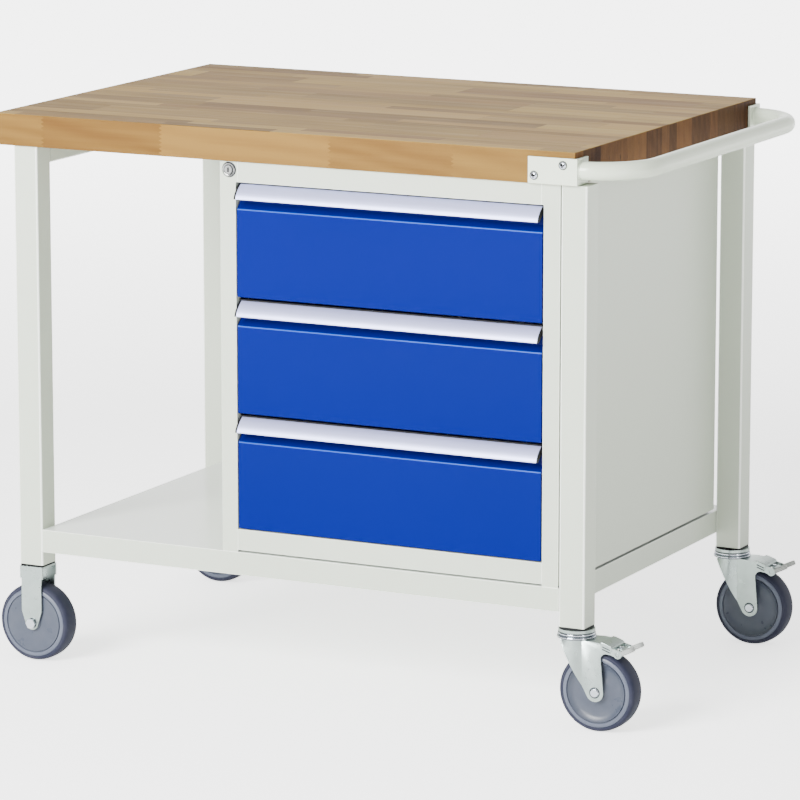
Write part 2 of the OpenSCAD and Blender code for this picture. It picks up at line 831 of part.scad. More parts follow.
worktop();
leg_front_left();
leg_front_right();
leg_rear_left();
leg_rear_right();
leg_caps();
top_rail_left();
top_rail_rear();
shelf_tray();
cabinet_side_left();
cabinet_side_right();
cabinet_top_rail();
cabinet_bottom_rail();
cabinet_back();
runner_posts();
runner_outer_members();
lock_housing();
lock_core();
lock_bar();
handle_brackets();
bracket_screws();
handle_tube();
drawer_front(1);  // drawer_front_1
drawer_front(2);  // drawer_front_2
drawer_front(3);  // drawer_front_3
drawer_box(1);  // drawer_box_1
drawer_box(2);  // drawer_box_2
drawer_box(3);  // drawer_box_3
drawer_grip(1);  // drawer_grip_1
drawer_grip(2);  // drawer_grip_2
drawer_grip(3);  // drawer_grip_3
grip_caps(1);  // grip_caps_1
grip_caps(2);  // grip_caps_2
grip_caps(3);  // grip_caps_3
runner_inner(1);  // runner_inner_1
runner_inner(2);  // runner_inner_2
runner_inner(3);  // runner_inner_3
runner_middle(1);  // runner_middle_1
runner_middle(2);  // runner_middle_2
runner_middle(3);  // runner_middle_3
fixed_fork_front();
fixed_fork_rear();
fixed_axles();
swivel_head_front();
swivel_head_rear();
swivel_fork_front();
swivel_fork_rear();
swivel_axle_front();
swivel_axle_rear();
brake_pedal_front();
brake_pedal_rear();
rim_fixed_front();
rim_fixed_rear();
rim_swivel_front();
rim_swivel_rear();
tyre_fixed_front();
tyre_fixed_rear();
tyre_swivel_front();
tyre_swivel_rear();
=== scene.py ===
"""Mobile workbench: beech top, powder-coated frame, blue drawers, push handle and castors."""

import json
import math

import bmesh
import bpy
from mathutils import Matrix, Vector


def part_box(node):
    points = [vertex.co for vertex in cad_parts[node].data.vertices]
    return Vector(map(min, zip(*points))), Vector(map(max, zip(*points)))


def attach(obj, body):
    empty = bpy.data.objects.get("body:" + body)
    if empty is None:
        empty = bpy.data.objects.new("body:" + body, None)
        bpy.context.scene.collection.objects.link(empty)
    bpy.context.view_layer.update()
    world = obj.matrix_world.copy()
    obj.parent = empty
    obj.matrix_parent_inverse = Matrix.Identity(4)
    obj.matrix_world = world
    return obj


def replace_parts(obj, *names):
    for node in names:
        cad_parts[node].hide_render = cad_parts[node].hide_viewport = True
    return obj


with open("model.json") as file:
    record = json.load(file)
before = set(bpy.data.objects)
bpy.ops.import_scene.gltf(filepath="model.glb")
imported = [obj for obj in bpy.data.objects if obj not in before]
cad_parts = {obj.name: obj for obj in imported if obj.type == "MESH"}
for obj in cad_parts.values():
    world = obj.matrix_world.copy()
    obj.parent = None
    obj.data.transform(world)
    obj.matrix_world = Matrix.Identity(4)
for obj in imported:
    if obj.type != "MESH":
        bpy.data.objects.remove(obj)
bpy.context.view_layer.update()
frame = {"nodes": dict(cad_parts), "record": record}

ENDS = ("front", "rear")
DRAWERS = (1, 2, 3)
BODY_OF = {node: body for body, nodes in frame["record"]["behaviour"]["bodies"].items() for node in nodes}

# ---------------------------------------------------------------- colours, scene-linear
BEECH_TOP_PALE = (0.300, 0.196, 0.052)
BEECH_TOP_DARK = (0.122, 0.066, 0.013)
BEECH_SIDE_PALE = (0.180, 0.101, 0.018)
BEECH_SIDE_DARK = (0.100, 0.045, 0.006)
BEECH_END_PALE = (0.140, 0.062, 0.020)
BEECH_END_DARK = (0.030, 0.011, 0.005)
WARM_BEECH = (0.240, 0.118, 0.036)
LIGHT_GREY = (0.485, 0.530, 0.440)
GENTIAN_BLUE = (0.0005, 0.0045, 0.120)
ANODISED = (0.490, 0.515, 0.790)
ZINC = (0.390, 0.455, 0.435)
POLISHED = (0.600, 0.640, 0.700)
NICKEL = (0.215, 0.220, 0.215)
# Paler grey for bevels and tube corners: a painted highlight.
BEND_HIGHLIGHT_GREY = (0.800, 0.830, 0.760)
# Paler blue on the drawer fronts' crease: a painted highlight.
BEND_HIGHLIGHT_BLUE = (0.004, 0.042, 0.300)
# Darker blue in the recess behind the grip and on the fronts' side faces: painted shade.
RECESS_SHADE_BLUE = (0.0004, 0.0022, 0.078)
# Paler grey for the handle, its brackets and welds: painted light on the frame's grey.
HANDLE_LIT_GREY = (0.580, 0.640, 0.510)
# Paler grey on the tray's top: painted light on the frame's grey.
TRAY_TOP_LIT_GREY = (0.740, 0.790, 0.740)
# Dark metal for the bearing's neck; also used for painted shade in grooves, slots and round nuts, and for
# painted dark reflection bands on the race rings.
DARK_STEEL_AND_SHADE = (0.035, 0.038, 0.045)
PEDAL_GREY = (0.270, 0.285, 0.270)
WHEEL_GREY = (0.046, 0.055, 0.078)
WHEEL_RING_GREY = (0.078, 0.090, 0.125)
TYRE_GREY = (0.019, 0.021, 0.038)
BLACK = (0.006, 0.006, 0.007)
FLOOR_WHITE = (0.930, 0.930, 0.930)


# ---------------------------------------------------------------- node helpers
def rgba(colour):
    return (*colour, 1.0)


def put(tree, socket, value):
    """Links an output to a socket, or sets the socket's own number or colour."""
    if isinstance(value, bpy.types.NodeSocket):
        tree.links.new(value, socket)
    elif isinstance(value, (tuple, list)) and len(value) == 3 and socket.type == "RGBA":
        socket.default_value = rgba(value)
    else:
        socket.default_value = value


def add(tree, kind, inputs=None, **settings):
    made = tree.nodes.new(kind)
    for name, value in settings.items():
        setattr(made, name, value)
    for name, value in (inputs or {}).items():
        put(tree, made.inputs[name], value)
    return made


def calc(tree, operation, *values, clamp=False):
    made = add(tree, "ShaderNodeMath", operation=operation, use_clamp=clamp)
    for index, value in enumerate(values):
        put(tree, made.inputs[index], value)
    return made.outputs[0]


def blend_colours(tree, factor, first, second, how="MIX"):
    made = add(tree, "ShaderNodeMix", data_type="RGBA", blend_type=how)
    put(tree, made.inputs["Factor"], factor)
    put(tree, made.inputs[6], first)
    put(tree, made.inputs[7], second)
    return made.outputs[2]


def swing(tree, total, value, amount, clamp=False):
    """Moves a total up and down by a value that runs round a half."""
    part = calc(tree, "MULTIPLY", calc(tree, "SUBTRACT", value, 0.5), amount)
    return calc(tree, "ADD", total, part, clamp=clamp)


def step_between(tree, value, low, high, to_low=0.0, to_high=1.0):
    made = add(tree, "ShaderNodeMapRange", {"Value": value, "From Min": low, "From Max": high,
                                            "To Min": to_low, "To Max": to_high})
    return made.outputs[0]


def scaled(tree, place, scale, offset=None):
    """A place with its axes stretched by scale, and moved by a value along all three."""
    made = add(tree, "ShaderNodeVectorMath", operation="MULTIPLY")
    put(tree, made.inputs[0], place)
    made.inputs[1].default_value = scale
    if offset is None:
        return made.outputs[0]
    moved = add(tree, "ShaderNodeVectorMath", operation="ADD")
    tree.links.new(made.outputs[0], moved.inputs[0])
    put(tree, moved.inputs[1], offset)
    return moved.outputs[0]


def noise(tree, place, scale=1.0, detail=2.0, roughness=0.5, distortion=0.0):
    made = add(tree, "ShaderNodeTexNoise", {"Vector": place, "Scale": scale, "Detail": detail,
                                            "Roughness": roughness, "Distortion": distortion})
    return made.outputs["Fac"]


def random_from(tree, *values):
    """A steady random number from 0 to 1 for one or two whole numbers."""
    joined = add(tree, "ShaderNodeCombineXYZ")
    for index, value in enumerate(values):
        put(tree, joined.inputs[index], value)
    made = add(tree, "ShaderNodeTexWhiteNoise", noise_dimensions="3D")
    tree.links.new(joined.outputs[0], made.inputs["Vector"])
    return made.outputs["Value"]


def new_group(name, inputs, outputs):
    """An empty shader node group with its sockets; returns the tree, its input node and its output node."""
    tree = bpy.data.node_groups.new(name, "ShaderNodeTree")
    kinds = {"value": "NodeSocketFloat", "colour": "NodeSocketColor", "vector": "NodeSocketVector"}
    for socket, (kind, value) in inputs.items():
        made = tree.interface.new_socket(socket, in_out="INPUT", socket_type=kinds[kind])
        if value is not None:
            made.default_value = rgba(value) if kind == "colour" else value
    for socket, kind in outputs.items():
        tree.interface.new_socket(socket, in_out="OUTPUT", socket_type=kinds[kind])
    return tree, tree.nodes.new("NodeGroupInput"), tree.nodes.new("NodeGroupOutput")


# ---------------------------------------------------------------- shared effects
def make_stave_layout():
    """Splits a glued-up top into rows across Y and staves along X; each stave gets its own number."""
    tree, given, result = new_group("stave layout", {
        "Place": ("vector", None), "Row Width": ("value", 0.04), "Stave Length": ("value", 0.4),
        "Finger": ("value", 0.0)}, {"Row": "value", "Stave": "value", "Joint": "value"})
    place = add(tree, "ShaderNodeSeparateXYZ", {"Vector": given.outputs["Place"]})
    across = calc(tree, "DIVIDE", place.outputs["Y"], given.outputs["Row Width"])
    sway = calc(tree, "SINE", calc(tree, "MULTIPLY", place.outputs["Y"], 41.0))
    across = calc(tree, "ADD", across, calc(tree, "MULTIPLY", sway, 0.32))
    row = calc(tree, "FLOOR", across)
    zigzag = calc(tree, "PINGPONG", place.outputs["Z"], 0.003)
    zigzag = calc(tree, "MULTIPLY", zigzag, given.outputs["Finger"])
    along = calc(tree, "DIVIDE", calc(tree, "ADD", place.outputs["X"], zigzag), given.outputs["Stave Length"])
    along = calc(tree, "ADD", along, calc(tree, "MULTIPLY", random_from(tree, row, 3.0), 7.0))
    bend = calc(tree, "SINE", calc(tree, "ADD", calc(tree, "MULTIPLY", along, 2.1), row))
    along = calc(tree, "ADD", along, calc(tree, "MULTIPLY", bend, 0.3))
    index = calc(tree, "FLOOR", along)
    put(tree, result.inputs["Row"], row)
    put(tree, result.inputs["Stave"], random_from(tree, row, index))
    end_gap = calc(tree, "PINGPONG", along, 0.5)
    side_gap = calc(tree, "PINGPONG", across, 0.5)
    end_line = step_between(tree, end_gap, 0.0, 0.0025, 1.0, 0.0)
    side_line = step_between(tree, side_gap, 0.0, 0.012, 1.0, 0.0)
    put(tree, result.inputs["Joint"], calc(tree, "MAXIMUM", end_line, side_line))
    return tree


def make_long_grain():
    """Beech cut along the grain: soft cathedral figure, streaks and short ray flecks."""
    tree, given, result = new_group("long grain", {
        "Place": ("vector", None), "Stave": ("value", 0.0), "Pale": ("colour", BEECH_TOP_PALE),
        "Dark": ("colour", BEECH_TOP_DARK), "Figure": ("value", 0.5)},
        {"Colour": "colour", "Roughness": "value", "Height": "value"})
    place, stave = given.outputs["Place"], given.outputs["Stave"]
    shift = add(tree, "ShaderNodeCombineXYZ")
    for index, factor in enumerate((17.0, 5.0, 9.0)):
        put(tree, shift.inputs[index], calc(tree, "MULTIPLY", stave, factor))
    swirl = scaled(tree, place, (1.6, 9.0, 9.0), shift.outputs[0])
    wander = noise(tree, swirl, 1.7, 3.0, 0.55)
    rings = add(tree, "ShaderNodeTexWave", {"Vector": swirl, "Scale": 1.5, "Distortion": 5.0, "Detail": 2.0,
                                            "Detail Scale": 1.2}, wave_type="RINGS", rings_direction="Y")
    streak = noise(tree, scaled(tree, place, (3.0, 150.0, 150.0), shift.outputs[0]), 1.0, 3.0, 0.6)
    fleck = noise(tree, scaled(tree, place, (220.0, 1400.0, 1400.0), shift.outputs[0]), 1.0, 1.0, 0.5)
    fleck = step_between(tree, fleck, 0.64, 0.76)
    tone = swing(tree, 0.42, stave, 1.25)
    tone = swing(tree, tone, wander, 0.7)
    tone = swing(tree, tone, streak, 0.55)
    tone = swing(tree, tone, rings.outputs["Fac"], given.outputs["Figure"])
    tone = calc(tree, "ADD", tone, calc(tree, "MULTIPLY", fleck, 0.22), clamp=True)
    colour = blend_colours(tree, tone, given.outputs["Pale"], given.outputs["Dark"])
    warmth = step_between(tree, calc(tree, "FRACT", calc(tree, "MULTIPLY", stave, 13.7)), 0.0, 1.0, 0.0, 0.30)
    colour = blend_colours(tree, warmth, colour, WARM_BEECH)
    put(tree, result.inputs["Colour"], colour)
    put(tree, result.inputs["Roughness"], step_between(tree, streak, 0.3, 0.7, 0.42, 0.54))
    put(tree, result.inputs["Height"], calc(tree, "SUBTRACT", streak, fleck))
    return tree


def make_end_grain():
    """Beech sawn across the grain: growth rings, dense pores and a few drying checks."""
    tree, given, result = new_group("end grain", {
        "Place": ("vector", None), "Row": ("value", 0.0), "Pale": ("colour", BEECH_END_PALE),
        "Dark": ("colour", BEECH_END_DARK)}, {"Colour": "colour", "Roughness": "value", "Height": "value"})
    place, row = given.outputs["Place"], given.outputs["Row"]
    lot = random_from(tree, row, 11.0)
    shift = add(tree, "ShaderNodeCombineXYZ")
    for index, factor in enumerate((0.0, 3.0, 2.0)):
        put(tree, shift.inputs[index], calc(tree, "MULTIPLY", lot, factor))
    turned = scaled(tree, place, (1.0, 13.0, 4.0), shift.outputs[0])
    rings = add(tree, "ShaderNodeTexWave", {"Vector": turned, "Scale": 2.2, "Distortion": 2.5, "Detail": 2.0},
                wave_type="RINGS", rings_direction="X")
    pores = noise(tree, scaled(tree, place, (1.0, 1500.0, 900.0)), 1.0, 1.0, 0.5)
    bands = noise(tree, scaled(tree, place, (1.0, 160.0, 9.0), shift.outputs[0]), 1.0, 3.0, 0.6)
    checks = noise(tree, scaled(tree, place, (1.0, 130.0, 26.0), shift.outputs[0]), 1.0, 2.0, 0.5, 1.2)
    checks = step_between(tree, checks, 0.68, 0.74)
    tone = calc(tree, "MULTIPLY", rings.outputs["Fac"], 0.12)
    tone = calc(tree, "ADD", calc(tree, "MULTIPLY", lot, 0.95), tone)
    tone = swing(tree, tone, bands, 1.00)
    tone = swing(tree, tone, pores, 0.35, clamp=True)
    colour = blend_colours(tree, tone, given.outputs["Pale"], given.outputs["Dark"])
    hue = step_between(tree, random_from(tree, row, 5.0), 0.0, 1.0, 0.0, 0.4)
    colour = blend_colours(tree, hue, colour, (0.120, 0.060, 0.018))
    colour = blend_colours(tree, calc(tree, "MULTIPLY", checks, 0.85), colour, (0.020, 0.010, 0.006))
    put(tree, result.inputs["Colour"], colour)
    put(tree, result.inputs["Roughness"], step_between(tree, pores, 0.3, 0.7, 0.5, 0.66))
    put(tree, result.inputs["Height"], calc(tree, "SUBTRACT", pores, calc(tree, "MULTIPLY", checks, 3.0)))
    return tree


def make_sprayed_coat():
    """Powder coat: fine orange peel, faint clouding and a little dust on flat ledges."""
    tree, given, result = new_group("sprayed coat", {
        "Place": ("vector", None), "Colour": ("colour", LIGHT_GREY), "Gloss": ("value", 0.35),
        "Dust": ("value", 0.05)}, {"Colour": "colour", "Roughness": "value", "Height": "value"})
    place = given.outputs["Place"]
    peel = noise(tree, place, 420.0, 2.0, 0.45)
    cloud = noise(tree, place, 3.2, 3.0, 0.5)
    geometry = add(tree, "ShaderNodeNewGeometry")
    facing = add(tree, "ShaderNodeSeparateXYZ", {"Vector": geometry.outputs["Normal"]})
    ledge = step_between(tree, facing.outputs["Z"], 0.7, 1.0)
    settled = calc(tree, "MULTIPLY", ledge, noise(tree, place, 60.0, 4.0, 0.7))
    settled = calc(tree, "MULTIPLY", settled, given.outputs["Dust"])
    shade = step_between(tree, cloud, 0.3, 0.7, 0.975, 1.02)
    colour = blend_colours(tree, 1.0, given.outputs["Colour"], shade, "MULTIPLY")
    colour = blend_colours(tree, settled, colour, (0.52, 0.50, 0.46))
    rough = calc(tree, "ADD", given.outputs["Gloss"], step_between(tree, cloud, 0.3, 0.7, -0.03, 0.04))
    rough = calc(tree, "ADD", rough, calc(tree, "MULTIPLY", settled, 1.5))
    put(tree, result.inputs["Colour"], colour)
    put(tree, result.inputs["Roughness"], rough)
    put(tree, result.inputs["Height"], peel)
    return tree


def make_metal_skin():
    """Drawn or plated metal: lines along one axis, patchy lustre and small stains."""
    tree, given, result = new_group("metal skin", {
        "Place": ("vector", None), "Stretch": ("vector", (4.0, 900.0, 900.0)), "Colour": ("colour", ZINC),
        "Gloss": ("value", 0.3), "Patches": ("value", 0.3)},
        {"Colour": "colour", "Roughness": "value", "Height": "value"})
    place = given.outputs["Place"]
    stretched = add(tree, "ShaderNodeVectorMath", operation="MULTIPLY")
    put(tree, stretched.inputs[0], place)
    put(tree, stretched.inputs[1], given.outputs["Stretch"])
    lines = noise(tree, stretched.outputs[0], 1.0, 2.0, 0.6)
    patch = noise(tree, place, 55.0, 4.0, 0.6)
    amount = calc(tree, "MULTIPLY", calc(tree, "SUBTRACT", patch, 0.5), given.outputs["Patches"])
    drawn = step_between(tree, lines, 0.3, 0.7, -0.04, 0.04)
    shade = calc(tree, "ADD", calc(tree, "ADD", amount, 1.0), drawn)
    rough = calc(tree, "ADD", given.outputs["Gloss"], calc(tree, "MULTIPLY", amount, -0.5))
    rough = calc(tree, "ADD", rough, step_between(tree, lines, 0.3, 0.7, -0.05, 0.05))
    put(tree, result.inputs["Colour"], blend_colours(tree, 1.0, given.outputs["Colour"], shade, "MULTIPLY"))
    put(tree, result.inputs["Roughness"], rough)
    put(tree, result.inputs["Height"], lines)
    return tree


def make_moulded_skin():
    """Moulded plastic or rubber: fine grain, soft clouding and rolled-in dust."""
    tree, given, result = new_group("moulded skin", {
        "Place": ("vector", None), "Colour": ("colour", WHEEL_GREY), "Gloss": ("value", 0.4),
        "Dust": ("value", 0.1)}, {"Colour": "colour", "Roughness": "value", "Height": "value"})
    place = given.outputs["Place"]
    grain = noise(tree, place, 900.0, 2.0, 0.5)
    cloud = noise(tree, place, 40.0, 3.0, 0.55)
    dust = calc(tree, "MULTIPLY", step_between(tree, cloud, 0.35, 0.75), given.outputs["Dust"])
    colour = blend_colours(tree, dust, given.outputs["Colour"], (0.32, 0.32, 0.33))
    rough = calc(tree, "ADD", given.outputs["Gloss"], step_between(tree, cloud, 0.3, 0.7, -0.05, 0.08))
    put(tree, result.inputs["Colour"], colour)
    put(tree, result.inputs["Roughness"], rough)
    put(tree, result.inputs["Height"], grain)
    return tree


STAVE_LAYOUT = make_stave_layout()
LONG_GRAIN = make_long_grain()
END_GRAIN = make_end_grain()
SPRAYED_COAT = make_sprayed_coat()
METAL_SKIN = make_metal_skin()
MOULDED_SKIN = make_moulded_skin()


# ---------------------------------------------------------------- materials
def new_material(name):
    """A material with its tree, its Principled shader and the object's own coordinates."""
    made = bpy.data.materials.new(name)
    made.use_nodes = True
    tree = made.node_tree
    place = add(tree, "ShaderNodeTexCoord").outputs["Object"]
    return made, tree, tree.nodes["Principled BSDF"], place


def use_group(tree, group, inputs):
    made = add(tree, "ShaderNodeGroup", node_tree=group)
    for name, value in inputs.items():
        put(tree, made.inputs[name], value)
    return made


def finish_surface(tree, shader, skin, depth, bump=1.0):
    put(tree, shader.inputs["Base Color"], skin.outputs["Colour"])
    put(tree, shader.inputs["Roughness"], skin.outputs["Roughness"])
    raised = add(tree, "ShaderNodeBump",
                 {"Height": skin.outputs["Height"], "Strength": bump, "Distance": depth})
    put(tree, shader.inputs["Normal"], raised.outputs["Normal"])


STAVES = {"Row Width": 0.041, "Stave Length": 0.30}


def beech_top():
    made, tree, shader, place = new_material("beech top face")
    layout = use_group(tree, STAVE_LAYOUT, {"Place": place, **STAVES})
    skin = use_group(tree, LONG_GRAIN, {"Place": place, "Stave": layout.outputs["Stave"], "Figure": 0.10})
    finish_surface(tree, shader, skin, 0.0001, 0.4)
    darker = blend_colours(tree, calc(tree, "MULTIPLY", layout.outputs["Joint"], 0.35),
                           skin.outputs["Colour"], BEECH_TOP_DARK)
    put(tree, shader.inputs["Base Color"], darker)
    shader.inputs["Specular IOR Level"].default_value = 0.04
    return made


SIDE_JOINTS = (-0.457, -0.245, 0.046, 0.254)
SIDE_TONES = (0.52, 0.74, 0.25, 0.60, 0.45)
HALF_A_RAMP = 0.6
FINGER_PITCH = 0.0032


def beech_side():
    """Each long side shows one row of staves, joined end to end with short fingers."""
    made, tree, shader, place = new_material("beech long side")
    spot = add(tree, "ShaderNodeSeparateXYZ", {"Vector": place})
    finger = calc(tree, "PINGPONG", spot.outputs["Z"], FINGER_PITCH)
    along = calc(tree, "ADD", spot.outputs["X"], calc(tree, "MULTIPLY", finger, 1.8))
    tones = add(tree, "ShaderNodeValToRGB")
    tones.color_ramp.interpolation = "CONSTANT"
    put(tree, tones.inputs["Fac"], calc(tree, "ADD", along, HALF_A_RAMP))
    stops = tones.color_ramp.elements
    stops.remove(stops[1])
    stops[0].color = (SIDE_TONES[0],) * 3 + (1.0,)
    for joint, tone in zip(SIDE_JOINTS, SIDE_TONES[1:]):
        stops.new(joint + HALF_A_RAMP).color = (tone,) * 3 + (1.0,)
    skin = use_group(tree, LONG_GRAIN, {"Place": place, "Stave": tones.outputs["Color"],
                                        "Pale": BEECH_SIDE_PALE, "Dark": BEECH_SIDE_DARK, "Figure": 0.30})
    finish_surface(tree, shader, skin, 0.0001, 0.4)
    shader.inputs["Specular IOR Level"].default_value = 0.12
    return made


def beech_end():
    made, tree, shader, place = new_material("beech end grain")
    layout = use_group(tree, STAVE_LAYOUT, {"Place": place, **STAVES})
    skin = use_group(tree, END_GRAIN, {"Place": place, "Row": layout.outputs["Row"]})
    finish_surface(tree, shader, skin, 0.0001, 0.5)
    shader.inputs["Specular IOR Level"].default_value = 0.05
    return made


def sprayed(name, colour, gloss, dust, specular=0.5):
    made, tree, shader, place = new_material(name)
    skin = use_group(tree, SPRAYED_COAT, {"Place": place, "Colour": colour, "Gloss": gloss, "Dust": dust})
    finish_surface(tree, shader, skin, 0.00004, 0.35)
    shader.inputs["Specular IOR Level"].default_value = specular
    return made


def metal(name, colour, gloss, patches, stretch, depth=0.00002, metallic=1.0):
    made, tree, shader, place = new_material(name)
    skin = use_group(tree, METAL_SKIN, {"Place": place, "Stretch": stretch, "Colour": colour,
                                        "Gloss": gloss, "Patches": patches})
    finish_surface(tree, shader, skin, depth, 0.3)
    shader.inputs["Metallic"].default_value = metallic
    return made


def moulded(name, colour, gloss, dust, specular=0.5):
    made, tree, shader, place = new_material(name)
    skin = use_group(tree, MOULDED_SKIN, {"Place": place, "Colour": colour, "Gloss": gloss, "Dust": dust})
    finish_surface(tree, shader, skin, 0.00003, 0.4)
    shader.inputs["Specular IOR Level"].default_value = specular
    return made


BEECH_TOP = beech_top()
BEECH_SIDE = beech_side()
BEECH_END = beech_end()
FRAME_COAT = sprayed("light grey powder coat", LIGHT_GREY, 0.36, 0.06, 0.4)
INSIDE_COAT = sprayed("light grey drawer coat", (0.600, 0.615, 0.600), 0.45, 0.15)
BLUE_COAT = sprayed("gentian blue powder coat", GENTIAN_BLUE, 0.30, 0.02, 0.05)
# Painted shade: a darker blue for the recess and for the side faces of the fronts.
RECESS_SHADE_COAT = sprayed("blue coat with painted recess shade", RECESS_SHADE_BLUE, 0.45, 0.0, 0.05)
# Painted light: a paler copy of the frame coat for the handle, brackets and welds.
HANDLE_LIT_COAT = sprayed("paler handle coat with painted light", HANDLE_LIT_GREY, 0.22, 0.0, 0.6)
# Painted light: a paler copy of the frame coat for the tray's top.
TRAY_TOP_LIT_COAT = sprayed("paler tray top coat with painted light", TRAY_TOP_LIT_GREY, 0.20, 0.02, 0.9)
GRIP_METAL = metal("anodised grip", ANODISED, 0.46, 0.05, (3.0, 1600.0, 1600.0), metallic=0.65)
# Painted highlight: a paler grey coat on bevels and tube corners.
FRAME_BEND_HIGHLIGHT = sprayed("grey coat with painted bend highlight", BEND_HIGHLIGHT_GREY, 0.26, 0.0, 0.7)
# Painted highlight: a paler blue coat on the fronts' crease.
BLUE_BEND_HIGHLIGHT = sprayed("blue coat with painted crease highlight", BEND_HIGHLIGHT_BLUE, 0.35, 0.0, 0.15)
ZINC_METAL = metal("bright zinc plate", ZINC, 0.30, 0.25, (60.0, 60.0, 60.0))
BRIGHT_ZINC = metal("polished zinc ring", POLISHED, 0.10, 0.10, (60.0, 60.0, 900.0))
# Dark metal for the neck, and painted shade and painted reflection elsewhere.
SHADE_METAL = metal("dark steel and painted shade", DARK_STEEL_AND_SHADE, 0.35, 0.10, (300.0, 300.0, 300.0))
LOCK_METAL = metal("nickel plate", NICKEL, 0.22, 0.10, (300.0, 300.0, 300.0))
PEDAL_COAT = sprayed("pedal coat", PEDAL_GREY, 0.42, 0.10)
WHEEL_PLASTIC = moulded("grey wheel plastic", WHEEL_GREY, 0.30, 0.05, 0.35)
WHEEL_RING = moulded("paler wheel ring", WHEEL_RING_GREY, 0.34, 0.05, 0.3)
TYRE_RUBBER = moulded("blue-grey tyre rubber", TYRE_GREY, 0.55, 0.05, 0.1)
# Black for the real caps; the same black also paints shadow in the grip gap, the keyhole and the screw
# recesses.
BLACK_PLASTIC_AND_SHADOW = moulded("black plastic and painted shadow", BLACK, 0.45, 0.0, 0.15)

LOOKS = {"beech": BEECH_TOP, "frame_paint": FRAME_COAT, "front_paint": BLUE_COAT,
         "grip_aluminium": GRIP_METAL, "zinc_plate": ZINC_METAL, "lock_nickel": LOCK_METAL,
         "black_plastic": BLACK_PLASTIC_AND_SHADOW, "pedal_plastic": PEDAL_COAT, "wheel_plastic": WHEEL_PLASTIC,
         "tyre_rubber": TYRE_RUBBER}
SLOT_OF = {part["node"]: part["material_slot"] for part in frame["record"]["subparts"]}


# ---------------------------------------------------------------- shape helpers
def place_piece(name, bm, looks, body, smooth=35.0):
    """Makes an object from a bmesh, shades it smooth up to an angle, and lets it ride on a body."""
    bmesh.ops.recalc_face_normals(bm, faces=bm.faces)
    mesh = bpy.data.meshes.new(name)
    bm.to_mesh(mesh)
    bm.free()
    for look in looks if isinstance(looks, (list, tuple)) else [looks]:
        mesh.materials.append(look)
    mesh.polygons.foreach_set("use_smooth", [True] * len(mesh.polygons))
    mesh.set_sharp_from_angle(angle=math.radians(smooth))
    piece = bpy.data.objects.new(name, mesh)
    bpy.context.scene.collection.objects.link(piece)
    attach(piece, body)
    return piece


def ease_edges(piece, width, segments=2, angle=40.0, bend_highlight_look=None):
    """Rounds a piece's sharp edges, as deburring and paint do; the bevel faces can get a paler material, a
    painted highlight on the bends.
    """
    bevel = piece.modifiers.new("eased edges", "BEVEL")
    bevel.width = width
    bevel.segments = segments
    bevel.limit_method = "ANGLE"
    bevel.angle_limit = math.radians(angle)
    bevel.harden_normals = True
    # The painted highlight goes on the bevel faces.
    if bend_highlight_look:
        piece.data.materials.append(bend_highlight_look)
        bevel.material = len(piece.data.materials) - 1
    return piece


def eased_node(node, look, width, segments=2, angle=40.0, bend_highlight_look=None):
    """The shape of a CAD node with flat faces joined up and its edges eased."""
    bm = bmesh.new()
    bm.from_mesh(frame["nodes"][node].data)
    bmesh.ops.remove_doubles(bm, verts=bm.verts, dist=0.00001)
    bmesh.ops.dissolve_limit(bm, angle_limit=math.radians(0.5), verts=bm.verts, edges=bm.edges)
    piece = place_piece(node + "_finished", bm, look, BODY_OF[node])
    ease_edges(piece, width, segments, angle, bend_highlight_look)
    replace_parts(piece, node)
    return piece


def highlight_tube_corners(piece):
    """Gives the rounded corners of an upright or level tube a paler grey: a painted highlight along each
    corner.
    """
    piece.data.materials.append(FRAME_BEND_HIGHLIGHT)
    for face in piece.data.polygons:
        if sorted(abs(c) for c in face.normal)[1] > 0.12:
            face.material_index = len(piece.data.materials) - 1


def block(bm, low, high):
    """Adds a box between two corners."""
    size, middle = Vector(high) - Vector(low), (Vector(high) + Vector(low)) / 2
    move = Matrix.Translation(middle) @ Matrix.Diagonal((*size, 1.0))
    return bmesh.ops.create_cube(bm, size=1.0, matrix=move)["verts"]


def turned(bm, section, centre, axis="Y", steps=96, closed=True):
    """Turns a section of (radius, distance along the axis) round an axis through centre."""
    rings = []
    for index in range(steps):
        angle = 2 * math.pi * index / steps
        ring = []
        for radius, along in section:
            a, b = radius * math.cos(angle), radius * math.sin(angle)
            offset = {"X": (along, a, b), "Y": (a, along, b), "Z": (a, b, along)}[axis]
            ring.append(bm.verts.new(Vector(centre) + Vector(offset)))
        rings.append(ring)
    count = len(section)
    for index in range(steps):
        this, following = rings[index], rings[(index + 1) % steps]
        for k in range(count if closed else count - 1):
            n = (k + 1) % count
            bm.faces.new((this[k], this[n], following[n], following[k]))
    bmesh.ops.remove_doubles(bm, verts=bm.verts, dist=0.000002)
    bmesh.ops.dissolve_degenerate(bm, dist=0.000002, edges=bm.edges)


def rounded_section(corners, radius, steps=4):
    """A closed section with each corner rounded; corners are (radius, along) pairs."""
    points = []
    count = len(corners)
    for index, corner in enumerate(corners):
        here = Vector(corner)
        before = Vector(corners[index - 1]) - here
        after = Vector(corners[(index + 1) % count]) - here
        cut = min(radius, before.length * 0.45, after.length * 0.45)
        start, end = here + before.normalized() * cut, here + after.normalized() * cut
        for k in range(steps + 1):
            t = k / steps
            points.append(tuple((1 - t) ** 2 * start + 2 * t * (1 - t) * here + t * t * end))
    return points


